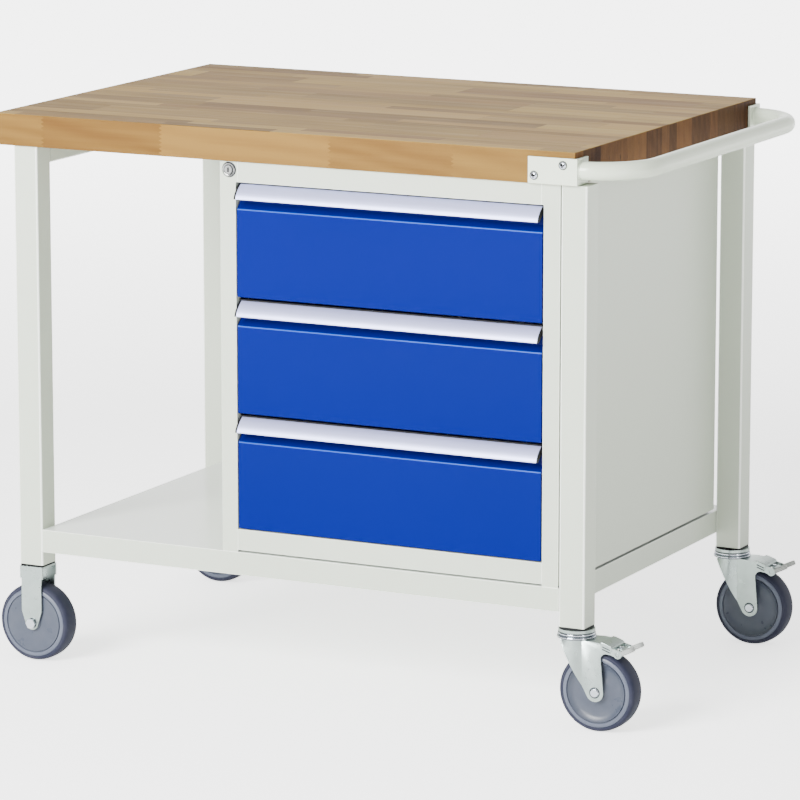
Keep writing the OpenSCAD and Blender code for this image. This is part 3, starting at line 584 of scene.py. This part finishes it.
def prism(bm, outline, low, high, axis="X"):
    """Extrudes a closed outline along an axis; the outline's pairs are the other two axes in order."""
    def at(pair, along):
        a, b = pair
        return {"X": (along, a, b), "Y": (a, along, b), "Z": (a, b, along)}[axis]
    first = [bm.verts.new(at(p, low)) for p in outline]
    second = [bm.verts.new(at(p, high)) for p in outline]
    bm.faces.new(first)
    bm.faces.new(list(reversed(second)))
    for index in range(len(outline)):
        n = (index + 1) % len(outline)
        bm.faces.new((first[index], second[index], second[n], first[n]))


def rod_along(bm, path, radius, steps=32, cap=True):
    """Sweeps a circle along a path of points."""
    rings = []
    count = len(path)
    for index, point in enumerate(path):
        ahead = Vector(path[min(index + 1, count - 1)]) - Vector(path[max(index - 1, 0)])
        ahead.normalize()
        side = ahead.cross(Vector((0, 0, 1)))
        side = side.normalized() if side.length > 1e-6 else Vector((1, 0, 0))
        up = side.cross(ahead)
        rings.append([bm.verts.new(Vector(point) + radius * (math.cos(a) * side + math.sin(a) * up))
                      for a in (2 * math.pi * k / steps for k in range(steps))])
    for first, second in zip(rings, rings[1:]):
        for k in range(steps):
            n = (k + 1) % steps
            bm.faces.new((first[k], first[n], second[n], second[k]))
    if cap:
        bm.faces.new(rings[0])
        bm.faces.new(list(reversed(rings[-1])))


# ---------------------------------------------------------------- worktop
def worktop_slab():
    """The glued-up top: long grain above and below, long sides, and end grain left and right."""
    low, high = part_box("worktop")
    bm = bmesh.new()
    block(bm, low, high)
    for face in bm.faces:
        face.normal_update()
        along = [abs(c) for c in face.normal]
        face.material_index = {0: 2, 1: 1, 2: 0}[along.index(max(along))]
    piece = place_piece("worktop_slab", bm, [BEECH_TOP, BEECH_SIDE, BEECH_END], "frame")
    ease_edges(piece, 0.0012, 3)
    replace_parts(piece, "worktop")


# ---------------------------------------------------------------- frame, tray and cabinet
def steel_frame():
    for node in SLOT_OF:
        if node.startswith(("leg_front", "leg_rear", "top_rail")):
            # The tube corners get a painted highlight.
            highlight_tube_corners(eased_node(node, FRAME_COAT, 0.0004))
    eased_node("leg_caps", BLACK_PLASTIC_AND_SHADOW, 0.0005)
    for node in ("leg_front_left", "leg_front_right", "leg_rear_left", "leg_rear_right"):
        low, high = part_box(node)
        bm = bmesh.new()
        inset = Vector((0.0015, 0.0015, 0.0))
        block(bm, Vector((low.x, low.y, high.z - 0.0025)) + inset, high - inset - Vector((0.0, 0.0, 0.0002)))
        place_piece(node + "_welded_end", bm, FRAME_COAT, "frame")
    # The tray's bevels get a painted highlight.
    tray = eased_node("shelf_tray", FRAME_COAT, 0.0010, 3, bend_highlight_look=FRAME_BEND_HIGHLIGHT).data
    # The tray's upward faces get the paler coat: painted light.
    tray.materials.append(TRAY_TOP_LIT_COAT)
    for face in tray.polygons:
        if face.normal.z > 0.9:
            face.material_index = len(tray.materials) - 1


def cabinet():
    for node in SLOT_OF:
        if node.startswith("cabinet"):
            # The cabinet's bevels get a painted highlight.
            eased_node(node, FRAME_COAT, 0.0007, bend_highlight_look=FRAME_BEND_HIGHLIGHT)
    for node in ("runner_posts", "runner_outer_members"):
        eased_node(node, ZINC_METAL, 0.0003)


# ---------------------------------------------------------------- drawers
RECESS_HEIGHT = 0.0405
RECESS_DEPTH = 0.010
GRIP_SHEET = 0.0016
GRIP_SWEEP = 0.0185
LIP_DEPTH = 0.0030
CAP_MARGIN = 0.0006
CAP_OVERLAP = 0.0014
# Height of the black strip that paints the shadow in the gap above the grip.
GAP_SHADOW_HEIGHT = 0.0018


def drawer_front(n):
    """A folded front panel: flat face, a paler blue crease as a painted highlight, and a finger recess below
    the grip that is painted darker as shade, along with the panel's side faces.
    """
    node = f"drawer_front_{n}"
    low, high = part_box(node)
    crease = high.z - RECESS_HEIGHT
    corners = [(low.y, low.z), (low.y, crease), (low.y + RECESS_DEPTH, crease + RECESS_DEPTH),
               (low.y + RECESS_DEPTH, high.z), (high.y, high.z), (high.y, low.z)]
    bm = bmesh.new()
    prism(bm, rounded_section(corners, 0.0014, 5), low.x, high.x)
    for face in bm.faces:
        face.normal_update()
        middle = face.calc_center_median()
        on_crease = abs(middle.z - crease) < 0.0015 and middle.y < low.y + 0.0015 and abs(face.normal.x) < 0.5
        # The small faces along the crease get the painted highlight.
        if on_crease and face.calc_area() < 0.005:
            face.material_index = 1
        # The recess above the crease and the side faces get painted shade.
        elif middle.z > crease or abs(face.normal.x) > 0.5:
            face.material_index = 2
    looks = [BLUE_COAT, BLUE_BEND_HIGHLIGHT, RECESS_SHADE_COAT]
    piece = place_piece(f"front_panel_{n}", bm, looks, f"drawer_{n}", 60.0)
    ease_edges(piece, 0.0005, 2, 60.0)
    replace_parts(piece, node)


def grip_face(node, margin=0.0, steps=18):
    """The grip's outer curve as (y, z), from the top of the drawer front out and down to its lip."""
    low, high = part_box(node)
    top, height = high.z - 0.0002, high.z - low.z - 0.0004
    curve = []
    for k in range(steps + 1):
        t = k / steps
        curve.append((low.y + GRIP_SWEEP * (1 - t) ** 1.7 - margin, top - height * t))
    return curve


def drawer_grip(n):
    """Rolled aluminium grip with a thickened lip, a black strip along its top as painted shadow in the gap
    above, and a cap on each end.
    """
    node, body = f"drawer_grip_{n}", f"drawer_{n}"
    low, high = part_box(node)
    curve = grip_face(node)
    inner = [(y + GRIP_SHEET, z + 0.0004) for y, z in reversed(curve[3:])]
    foot = curve[-1]
    inside = foot[0] + LIP_DEPTH
    lip = [(foot[0] + 0.0004, foot[1] - 0.0001), (inside, foot[1]), (inside, foot[1] + 0.0022)]
    root = [(high.y, high.z - 0.0014), (high.y, high.z)]
    bm = bmesh.new()
    prism(bm, curve + lip + [(y, z) for y, z in inner if z > foot[1] + LIP_DEPTH] + root, low.x, high.x)
    piece = place_piece(f"rolled_grip_{n}", bm, GRIP_METAL, body, 50.0)
    ease_edges(piece, 0.0003, 2, 60.0)
    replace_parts(piece, node)
    # A black strip in the gap above the grip: painted shadow.
    bm = bmesh.new()
    block(bm, (low.x, low.y + GRIP_SWEEP - 0.0003, high.z - 0.0006),
          (high.x, high.y - 0.0002, high.z + GAP_SHADOW_HEIGHT))
    place_piece(f"grip_gap_shadow_{n}", bm, BLACK_PLASTIC_AND_SHADOW, body)
    cap_low, cap_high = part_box(f"grip_caps_{n}")
    outline = grip_face(node, CAP_MARGIN, 12)
    outline += [(outline[-1][0] + 0.004, outline[-1][1]), (outline[0][0], outline[0][1] - 0.012)]
    for side, start, end in (("left", cap_low.x, low.x + CAP_OVERLAP),
                             ("right", high.x - 0.0002, cap_high.x)):
        bm = bmesh.new()
        prism(bm, outline, start, end)
        cap = place_piece(f"grip_cap_{side}_{n}", bm, BLACK_PLASTIC_AND_SHADOW, body)
        ease_edges(cap, 0.0003, 2, 60.0)
        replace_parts(cap, f"grip_caps_{n}")


def drawers():
    for n in DRAWERS:
        drawer_front(n)
        drawer_grip(n)
        eased_node(f"drawer_box_{n}", INSIDE_COAT, 0.0004)
        eased_node(f"runner_inner_{n}", ZINC_METAL, 0.0003)
        eased_node(f"runner_middle_{n}", ZINC_METAL, 0.0003)


def lock():
    """Cylinder lock: flange, a dark ring in the groove as painted shade, turning core, and a black block as
    painted shade in the keyhole.
    """
    eased_node("lock_bar", ZINC_METAL, 0.0003)
    eased_node("lock_core", LOCK_METAL, 0.0003)
    low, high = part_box("lock_housing")
    face, radius = low.y, (high.x - low.x) / 2
    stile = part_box("cabinet_side_left")[0].y
    centre = ((low.x + high.x) / 2, 0.0, (low.z + high.z) / 2)
    core_radius, barrel_radius = 0.00656, 0.009
    section = [(core_radius, face + 0.0008), (0.0080, face + 0.0002), (radius - 0.0010, face),
               (radius, face + 0.0010), (radius, stile), (barrel_radius, stile), (barrel_radius, high.y),
               (core_radius, high.y)]
    bm = bmesh.new()
    turned(bm, section, centre, "Y", 64)
    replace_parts(place_piece("lock_rosette", bm, LOCK_METAL, "frame"), "lock_housing")
    bm = bmesh.new()
    section = [(radius - 0.0001, stile + 0.0001), (radius - 0.0001, stile - 0.0009),
               (radius + 0.0011, stile - 0.0007), (radius + 0.0011, stile + 0.0001)]
    turned(bm, rounded_section(section, 0.0003), centre, "Y", 64)
    place_piece("lock_shadow_ring", bm, SHADE_METAL, "frame")
    low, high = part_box("lock_core")
    # Black block on the core's face: painted shade standing in for the keyhole.
    bm = bmesh.new()
    block(bm, (centre[0] - 0.0014, low.y - 0.00012, centre[2] - 0.0040),
          (centre[0] + 0.0014, low.y + 0.001, centre[2] + 0.0030))
    place_piece("keyhole", bm, BLACK_PLASTIC_AND_SHADOW, "lock_core")
    # Dark ring round the core: painted shade in the groove.
    bm = bmesh.new()
    groove = [(0.0066, low.y - 0.0002), (0.0074, low.y - 0.0002), (0.0074, stile), (0.0066, stile)]
    turned(bm, groove, centre, "Y", 48)
    place_piece("lock_groove_shade", bm, SHADE_METAL, "frame")


# ---------------------------------------------------------------- push handle
HANDLE_BEND = 0.088
WELD_RADIUS = 0.0022


def weld_bead(name, centre, radius, body):
    """A painted weld round a tube's end, with the ripples left by the torch."""
    bm = bmesh.new()
    rings, around = 72, 8
    grid = []
    for k in range(rings):
        a = 2 * math.pi * k / rings
        bead = WELD_RADIUS * (1.0 + 0.10 * math.sin(18 * a) + 0.06 * math.sin(5 * a))
        out = Vector((0.0, math.cos(a), math.sin(a)))
        grid.append([bm.verts.new(Vector(centre) + out * (radius + bead * 0.5 * math.cos(b))
                                  + Vector((bead * math.sin(b), 0, 0)))
                     for b in (2 * math.pi * i / around for i in range(around))])
    for k in range(rings):
        for i in range(around):
            n, m = (k + 1) % rings, (i + 1) % around
            bm.faces.new((grid[k][i], grid[k][m], grid[n][m], grid[n][i]))
    place_piece(name, bm, HANDLE_LIT_COAT, body, 80.0)


def islands(node):
    """The lowest and highest corners of each separate solid in a CAD node."""
    bm = bmesh.new()
    bm.from_mesh(frame["nodes"][node].data)
    bmesh.ops.remove_doubles(bm, verts=bm.verts, dist=0.00001)
    left, found = set(bm.verts), []
    while left:
        group, edge = set(), [left.pop()]
        while edge:
            vert = edge.pop()
            group.add(vert)
            near = {other for link in vert.link_edges for other in [link.other_vert(vert)]} & left
            left -= near
            edge.extend(near)
        spots = [vert.co.copy() for vert in group]
        found.append(tuple(Vector([pick(spot[axis] for spot in spots) for axis in range(3)])
                           for pick in (min, max)))
    bm.free()
    return found


def bracket_screws():
    """Domed cross-head screws that hold each bracket to the worktop's edge."""
    low_all, high_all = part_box("bracket_screws")
    for index, (low, high) in enumerate(islands("bracket_screws")):
        front = low.y < (low_all.y + high_all.y) / 2
        face, inward = (low.y, 1) if front else (high.y, -1)
        centre = ((low.x + high.x) / 2, face, (low.z + high.z) / 2)
        radius = (high.x - low.x) / 2
        dome = [(0.0, 0.0), (radius * 0.45, 0.00015), (radius * 0.80, 0.0009), (radius, 0.0025),
                (radius, 0.0030), (0.0, 0.0030)]
        bm = bmesh.new()
        turned(bm, [(far, along * inward) for far, along in dome], centre, "Y", 40)
        shank = 0.0022
        block(bm, (centre[0] - shank, face + 0.0020 * inward, centre[2] - shank),
              (centre[0] + shank, face + 0.0200 * inward, centre[2] + shank))
        screw = place_piece(f"bracket_screw_{index}", bm, BRIGHT_ZINC, "frame", 60.0)
        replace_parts(screw, "bracket_screws")
        # Black cross and a black rim round each screw head: painted shade in the recess and painted shadow
        # round the dome.
        bm = bmesh.new()
        for wide, tall in ((0.0034, 0.0011), (0.0011, 0.0034)):
            block(bm, (centre[0] - wide, face - 0.00012 * inward, centre[2] - tall),
                  (centre[0] + wide, face + 0.0010 * inward, centre[2] + tall))
        rim = radius + 0.0007
        turned(bm, [(radius, 0.0024 * inward), (rim, 0.0026 * inward), (rim, 0.0036 * inward),
                    (radius, 0.0036 * inward)], centre, "Y", 40)
        place_piece(f"screw_recess_shade_{index}", bm, BLACK_PLASTIC_AND_SHADOW, "frame")


def push_handle():
    """The bent tube, welded to a bracket at each of the worktop's right corners."""
    low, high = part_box("handle_tube")
    radius = (high.z - low.z) / 2
    level = (high.z + low.z) / 2
    line = high.x - radius
    path = []
    for side, mirror in ((low.y + radius, 1), (high.y - radius, -1)):
        steps = 22
        reach = line - HANDLE_BEND
        first = math.asin(max(0.0, (low.x - reach) / HANDLE_BEND))
        arc = [(reach + HANDLE_BEND * math.sin(t), side + mirror * HANDLE_BEND * (1 - math.cos(t)), level)
               for t in (first + (math.pi / 2 - first) * k / steps for k in range(steps + 1))]
        path += arc if mirror == 1 else list(reversed(arc))
    bm = bmesh.new()
    rod_along(bm, path, radius, 40)
    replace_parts(place_piece("push_handle", bm, HANDLE_LIT_COAT, "frame"), "handle_tube")
    for end, place in (("front", path[0]), ("rear", path[-1])):
        weld_bead(f"handle_weld_{end}", place, radius, "frame")
    # The brackets' bevels get a painted highlight.
    eased_node("handle_brackets", HANDLE_LIT_COAT, 0.0008, bend_highlight_look=FRAME_BEND_HIGHLIGHT)
    bracket_screws()


# ---------------------------------------------------------------- castors
def middle_of(node):
    low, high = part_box(node)
    return (low + high) / 2


WHEEL_FACE = 0.018
WHEEL_BORE = 0.00505
RING_START = 0.0486


def wheel_section(face, bore, hub, dished):
    """Half section of a wheel body as (radius, distance from its middle plane)."""
    boss = [(bore, hub), (0.0120, hub), (0.0130, hub - 0.0008), (0.0135, face - 0.0012)]
    if dished:
        disc = [(0.0150, face - 0.0015), (0.0190, face - 0.0040), (0.0280, face - 0.0056),
                (0.0380, face - 0.0056), (0.0430, face - 0.0040)]
    else:
        disc = [(0.0150, face - 0.0012), (0.0300, face - 0.0009)]
    groove = [(0.0468, face - 0.0008), (0.0474, face - 0.0026), (0.0484, face - 0.0026)]
    ring = [(0.0490, face - 0.0003), (0.0542, face - 0.0003), (0.0550, face - 0.0012),
            (0.0550, face - 0.0040), (0.0520, face - 0.0060)]
    return boss + disc + groove + ring


def wheel(kind, end):
    """Wheel body with a raised rim ring round its disc, and a crowned tyre."""
    body = f"wheel_{kind}_{end}"
    rim, tyre = f"rim_{kind}_{end}", f"tyre_{kind}_{end}"
    centre = middle_of(tyre)
    low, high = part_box(rim)
    hub = (high.y - low.y) / 2
    half = wheel_section(WHEEL_FACE, WHEEL_BORE, hub, kind == "swivel")
    section = half + [(radius, -along) for radius, along in reversed(half)]
    bm = bmesh.new()
    turned(bm, section, centre, "Y", 96)
    for face in bm.faces:
        reach = face.calc_center_median() - centre
        face.material_index = 1 if math.hypot(reach.x, reach.z) > RING_START else 0
    looks = [WHEEL_PLASTIC, WHEEL_RING]
    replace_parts(place_piece(rim + "_moulded", bm, looks, body, 50.0), rim)
    outside = (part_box(tyre)[1].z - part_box(tyre)[0].z) / 2
    crown = [(0.0520, 0.0120), (0.0550, 0.0141), (0.0552, 0.0174), (0.0572, 0.0175), (0.0594, 0.0164),
             (0.0611, 0.0140), (0.0619, 0.0105), (outside - 0.0002, 0.0060), (outside, 0.0)]
    section = crown + [(radius, -along) for radius, along in reversed(crown[:-1])]
    bm = bmesh.new()
    turned(bm, section, centre, "Y", 120)
    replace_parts(place_piece(tyre + "_moulded", bm, TYRE_RUBBER, body, 50.0), tyre)


HEAD_WALL = (0.0285, 0.0305)
HEAD_CORE = 0.0262
RACE_STACK = 0.0100
RING_BORE = 0.0065


def race_seat(end, fork):
    """Turns the fork's head down to a core, so that the pressed rings stand out round it."""
    centre = middle_of(f"swivel_head_{end}")
    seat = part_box(f"swivel_fork_{end}")[1].z
    for vert in fork.data.vertices:
        reach = vert.co - centre
        reach.z = 0.0
        if HEAD_WALL[0] < reach.length < HEAD_WALL[1] and vert.co.z > seat - RACE_STACK:
            vert.co -= reach * (1.0 - HEAD_CORE / reach.length)


def swivel_bearing(end):
    """The ball race: a black neck and an upper ring on the stem, and two pressed rings on the fork."""
    middle = middle_of(f"swivel_head_{end}")
    centre = (middle.x, middle.y, 0.0)
    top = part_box("leg_caps")[0].z
    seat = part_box(f"swivel_fork_{end}")[1].z
    turning = f"swivel_{end}"
    neck = [(0.0070, top - 0.0020), (0.0205, top - 0.0020), (0.0225, top), (0.0070, top)]
    upper = [(0.0070, seat + 0.0007), (0.0268, seat + 0.0007), (0.0262, top - 0.0026), (0.0070, top - 0.0018)]
    centre_ring = [(RING_BORE, seat - 0.0042), (0.0290, seat - 0.0042), (0.0286, seat + 0.0002),
                   (RING_BORE, seat + 0.0002)]
    lower = [(RING_BORE, seat - 0.0092), (0.0302, seat - 0.0092), (0.0300, seat - 0.0047),
             (RING_BORE, seat - 0.0047)]
    for name, body, section in (("neck", "frame", neck), ("upper_race", "frame", upper),
                                ("middle_race", turning, centre_ring), ("lower_race", turning, lower)):
        bm = bmesh.new()
        turned(bm, rounded_section(section, 0.0022, 8), centre, "Z", 96)
        for face in bm.faces:
            face.normal_update()
        bmesh.ops.recalc_face_normals(bm, faces=bm.faces)
        # Faces of the polished rings in set slope bands get dark metal: painted reflection bands. The neck is
        # dark all over.
        for face in bm.faces:
            tilt = face.normal.z
            dark = name == "neck" or -0.55 < tilt < -0.02 or 0.45 < tilt < 0.80
            face.material_index = 1 if dark else 0
        place_piece(f"{name}_{end}", bm, [BRIGHT_ZINC, SHADE_METAL], body, 50.0)


STRAP_HALF = 0.0236
STRAP_OUTLINE = ((0.0490, 0.1375), (0.0500, 0.1425), (0.0565, 0.1408), (0.0660, 0.1375), (0.0690, 0.1350),
                 (0.0655, 0.1255), (0.0520, 0.1300))


def brake_strap(end):
    """A folded strap over the fork's tail that guides the brake spring, with its slots and screw."""
    pin = middle_of(f"swivel_head_{end}")
    body = f"swivel_{end}"
    bm = bmesh.new()
    prism(bm, [(pin.x + dx, z) for dx, z in STRAP_OUTLINE], pin.y - STRAP_HALF, pin.y + STRAP_HALF, "Y")
    ease_edges(place_piece(f"brake_strap_{end}", bm, ZINC_METAL, body), 0.0009, 2)
    for side, name in ((-1, "near"), (1, "far")):
        # Thin dark plates on the strap's sides: painted shade standing in for the slots.
        for k, level in enumerate((0.1335, 0.1297)):
            bm = bmesh.new()
            block(bm, (-0.0066, -0.0003, -0.0008), (0.0066, 0.0003, 0.0008))
            spot = Vector((pin.x + 0.0590, pin.y + side * (STRAP_HALF + 0.0001), level))
            turn = Matrix.Translation(spot) @ Matrix.Rotation(math.radians(19), 4, "Y")
            bmesh.ops.transform(bm, matrix=turn, verts=bm.verts)
            place_piece(f"strap_slot_{end}_{k}_{name}", bm, SHADE_METAL, body)
    bm = bmesh.new()
    screw = [(0.0, 0.1262), (0.0034, 0.1262), (0.0034, 0.1335), (0.0, 0.1335)]
    turned(bm, rounded_section(screw, 0.0006), (pin.x + 0.0738, pin.y, 0.0), "Z", 32)
    place_piece(f"brake_screw_{end}", bm, BRIGHT_ZINC, body)


PEDAL_SLOPE = 25.0
PEDAL_PIN_BACK = 0.077
PEDAL_PIN_HEIGHT = 0.1255
PEDAL_HALF = 0.0250
EAR_RADIUS = 0.0080
EAR_UNDER = -0.0044
EAR_TOP = 0.0028


def brake_pedal(end):
    """Foot pedal: a pressed plate between two thick rounded ears, on a pin through the fork."""
    node, body = f"brake_pedal_{end}", f"pedal_{end}"
    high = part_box(node)[1]
    pin = middle_of(f"swivel_head_{end}")
    pivot = Vector((pin.x + PEDAL_PIN_BACK, pin.y, PEDAL_PIN_HEIGHT))
    slope = math.radians(PEDAL_SLOPE)
    reach = (high.x - pivot.x + EAR_UNDER * math.sin(slope)) / math.cos(slope) - 0.0003
    lean = Matrix.Translation(pivot) @ Matrix.Rotation(-slope, 4, "Y")
    pieces = []
    for side, ear_middle in (("near", EAR_RADIUS - PEDAL_HALF), ("far", PEDAL_HALF - EAR_RADIUS)):
        bm = bmesh.new()
        steps = 12
        outline = [(reach - EAR_RADIUS * (1 - math.sin(t)), ear_middle + EAR_RADIUS * math.cos(t))
                   for t in (math.pi * k / steps for k in range(steps + 1))]
        outline += [(0.0060, ear_middle - 0.0066), (0.0060, ear_middle + 0.0066)]
        prism(bm, outline, EAR_UNDER, EAR_TOP, "Z")
        bmesh.ops.transform(bm, matrix=lean, verts=bm.verts)
        pieces.append(place_piece(f"pedal_ear_{side}_{end}", bm, PEDAL_COAT, body))
    bm = bmesh.new()
    block(bm, (-0.002, 0.010 - PEDAL_HALF, -0.0024), (reach * 0.52, PEDAL_HALF - 0.010, 0.0014))
    bmesh.ops.transform(bm, matrix=lean, verts=bm.verts)
    pieces.append(place_piece(f"pedal_plate_{end}", bm, PEDAL_COAT, body))
    for piece in pieces:
        ease_edges(piece, 0.0016, 3)
        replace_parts(piece, node)
    bm = bmesh.new()
    half_pin = [(0.0055, 0.0110), (0.0030, 0.0110), (0.0030, 0.0220), (0.0, 0.0220)]
    section = [(radius, -along) for radius, along in reversed(half_pin)] + half_pin
    turned(bm, rounded_section(section, 0.0004), pivot, "Y", 32)
    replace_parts(place_piece(f"pedal_pin_{end}", bm, ZINC_METAL, body), node)


# Outer radius of the dark ring painted as shadow round each axle nut.
NUT_SHADOW_RADIUS = 0.0086
AXLE_EYE = 0.013


def nut_shadow_rings(kind, end):
    """A dark ring between each axle nut and the fork's outer face: painted shadow round the nut."""
    fork = frame["nodes"][f"{kind}_fork_{end}"]
    centre = middle_of(f"tyre_{kind}_{end}")
    near_axle = [vert.co.y for vert in fork.data.vertices if (vert.co - centre).xz.length < AXLE_EYE]
    for name, face, out in (("near", min(near_axle), -1), ("far", max(near_axle), 1)):
        bm = bmesh.new()
        section = [(0.0030, 0.0), (NUT_SHADOW_RADIUS, 0.0), (NUT_SHADOW_RADIUS - 0.0002, 0.0005 * out),
                   (0.0030, 0.0005 * out)]
        turned(bm, section, (centre.x, face, centre.z), "Y", 48)
        body = f"swivel_{end}" if kind == "swivel" else "frame"
        place_piece(f"nut_joint_{kind}_{end}_{name}", bm, SHADE_METAL, body)


def castors():
    for kind in ("fixed", "swivel"):
        for end in ENDS:
            fork = eased_node(f"{kind}_fork_{end}", ZINC_METAL, 0.0008)
            if kind == "swivel":
                race_seat(end, fork)
            nut_shadow_rings(kind, end)
            wheel(kind, end)
    for end in ENDS:
        swivel_bearing(end)
        brake_strap(end)
        eased_node(f"swivel_axle_{end}", BRIGHT_ZINC, 0.0005)
        brake_pedal(end)
    eased_node("fixed_axles", BRIGHT_ZINC, 0.0005)


def dress_plain_nodes():
    """CAD nodes that stay as they are get the finish of their slot."""
    for node, made in frame["nodes"].items():
        for slot in made.material_slots:
            slot.material = LOOKS[SLOT_OF[node]]


# ---------------------------------------------------------------- studio
CAMERA_PLACE = (3.3135, -6.6417, 1.8625)
CAMERA_TURN = 26.58
CAMERA_DIP = 11.09
CAMERA_LENS = 212.7
FLOOR_SIZE = 40.0
FLOOR_GLOW = 0.45
FLOOR_FAR_GLOW = 3.0
FLOOR_SEEN_GLOW = 1.5
WORLD_AT_FLOOR = 0.15
WORLD_OVERHEAD = 0.95
WORLD_BEHIND = 2.20


def studio_floor():
    bm = bmesh.new()
    bmesh.ops.create_grid(bm, x_segments=1, y_segments=1, size=FLOOR_SIZE / 2)
    mesh = bpy.data.meshes.new("studio_floor")
    bm.to_mesh(mesh)
    bm.free()
    look = bpy.data.materials.new("studio floor")
    look.use_nodes = True
    shader = look.node_tree.nodes["Principled BSDF"]
    shader.inputs["Base Color"].default_value = rgba(FLOOR_WHITE)
    shader.inputs["Roughness"].default_value = 0.9
    shader.inputs["Emission Color"].default_value = (1.0, 1.0, 1.0, 1.0)
    tree = look.node_tree
    away = add(tree, "ShaderNodeVectorMath", {"Vector": add(tree, "ShaderNodeTexCoord").outputs["Object"]},
               operation="LENGTH")
    glow = step_between(tree, away.outputs["Value"], 2.0, 6.0, FLOOR_GLOW, FLOOR_FAR_GLOW)
    seen = add(tree, "ShaderNodeLightPath").outputs["Is Camera Ray"]
    glow = calc(tree, "ADD", glow, calc(tree, "MULTIPLY", seen, FLOOR_SEEN_GLOW))
    put(tree, shader.inputs["Emission Strength"], glow)
    shader.inputs["Specular IOR Level"].default_value = 0.1
    mesh.materials.append(look)
    floor = bpy.data.objects.new("studio_floor", mesh)
    bpy.context.scene.collection.objects.link(floor)


def soft_box(name, place, target, size, power, tint=(1.0, 1.0, 1.0)):
    light = bpy.data.lights.new(name, "AREA")
    light.shape = "RECTANGLE"
    light.size, light.size_y = size
    light.energy = power
    light.color = tint
    lamp = bpy.data.objects.new(name, light)
    lamp.location = place
    lamp.rotation_euler = (Vector(target) - Vector(place)).to_track_quat("-Z", "Y").to_euler()
    bpy.context.scene.collection.objects.link(lamp)


def studio():
    studio_floor()
    world = bpy.data.worlds.new("studio")
    bpy.context.scene.world = world
    world.use_nodes = True
    sky = world.node_tree
    background = sky.nodes["Background"]
    direction = add(sky, "ShaderNodeTexCoord").outputs["Generated"]
    toward = add(sky, "ShaderNodeSeparateXYZ", {"Vector": direction})
    lift = step_between(sky, toward.outputs["Z"], 0.0, 0.6, WORLD_AT_FLOOR, WORLD_OVERHEAD)
    behind = calc(sky, "MULTIPLY", step_between(sky, toward.outputs["Y"], 0.5, 0.9),
                  step_between(sky, toward.outputs["Z"], 0.2, 0.45, WORLD_BEHIND, 0.0))
    put(sky, background.inputs["Strength"], calc(sky, "ADD", lift, behind))
    background.inputs["Color"].default_value = (1.0, 1.0, 1.0, 1.0)
    middle = (0.0, 0.0, 0.5)
    soft_box("key light", (-1.3, -5.6, 3.0), middle, (3.0, 3.0), 1180.0)
    soft_box("back light", (-1.5, 4.5, 2.6), (0.0, 1.5, 0.0), (4.0, 4.0), 30.0)
    soft_box("edge light", (4.4, -2.3, 1.3), middle, (0.6, 2.6), 36.0)
    camera = bpy.data.cameras.new("camera")
    camera.lens = CAMERA_LENS
    camera.sensor_width = 36.0
    camera.clip_end = 200.0
    seat = bpy.data.objects.new("camera", camera)
    seat.location = CAMERA_PLACE
    seat.rotation_euler = (math.radians(90.0 - CAMERA_DIP), 0.0, math.radians(CAMERA_TURN))
    bpy.context.scene.collection.objects.link(seat)
    bpy.context.scene.camera = seat


dress_plain_nodes()
worktop_slab()
steel_frame()
cabinet()
drawers()
lock()
push_handle()
castors()
studio()
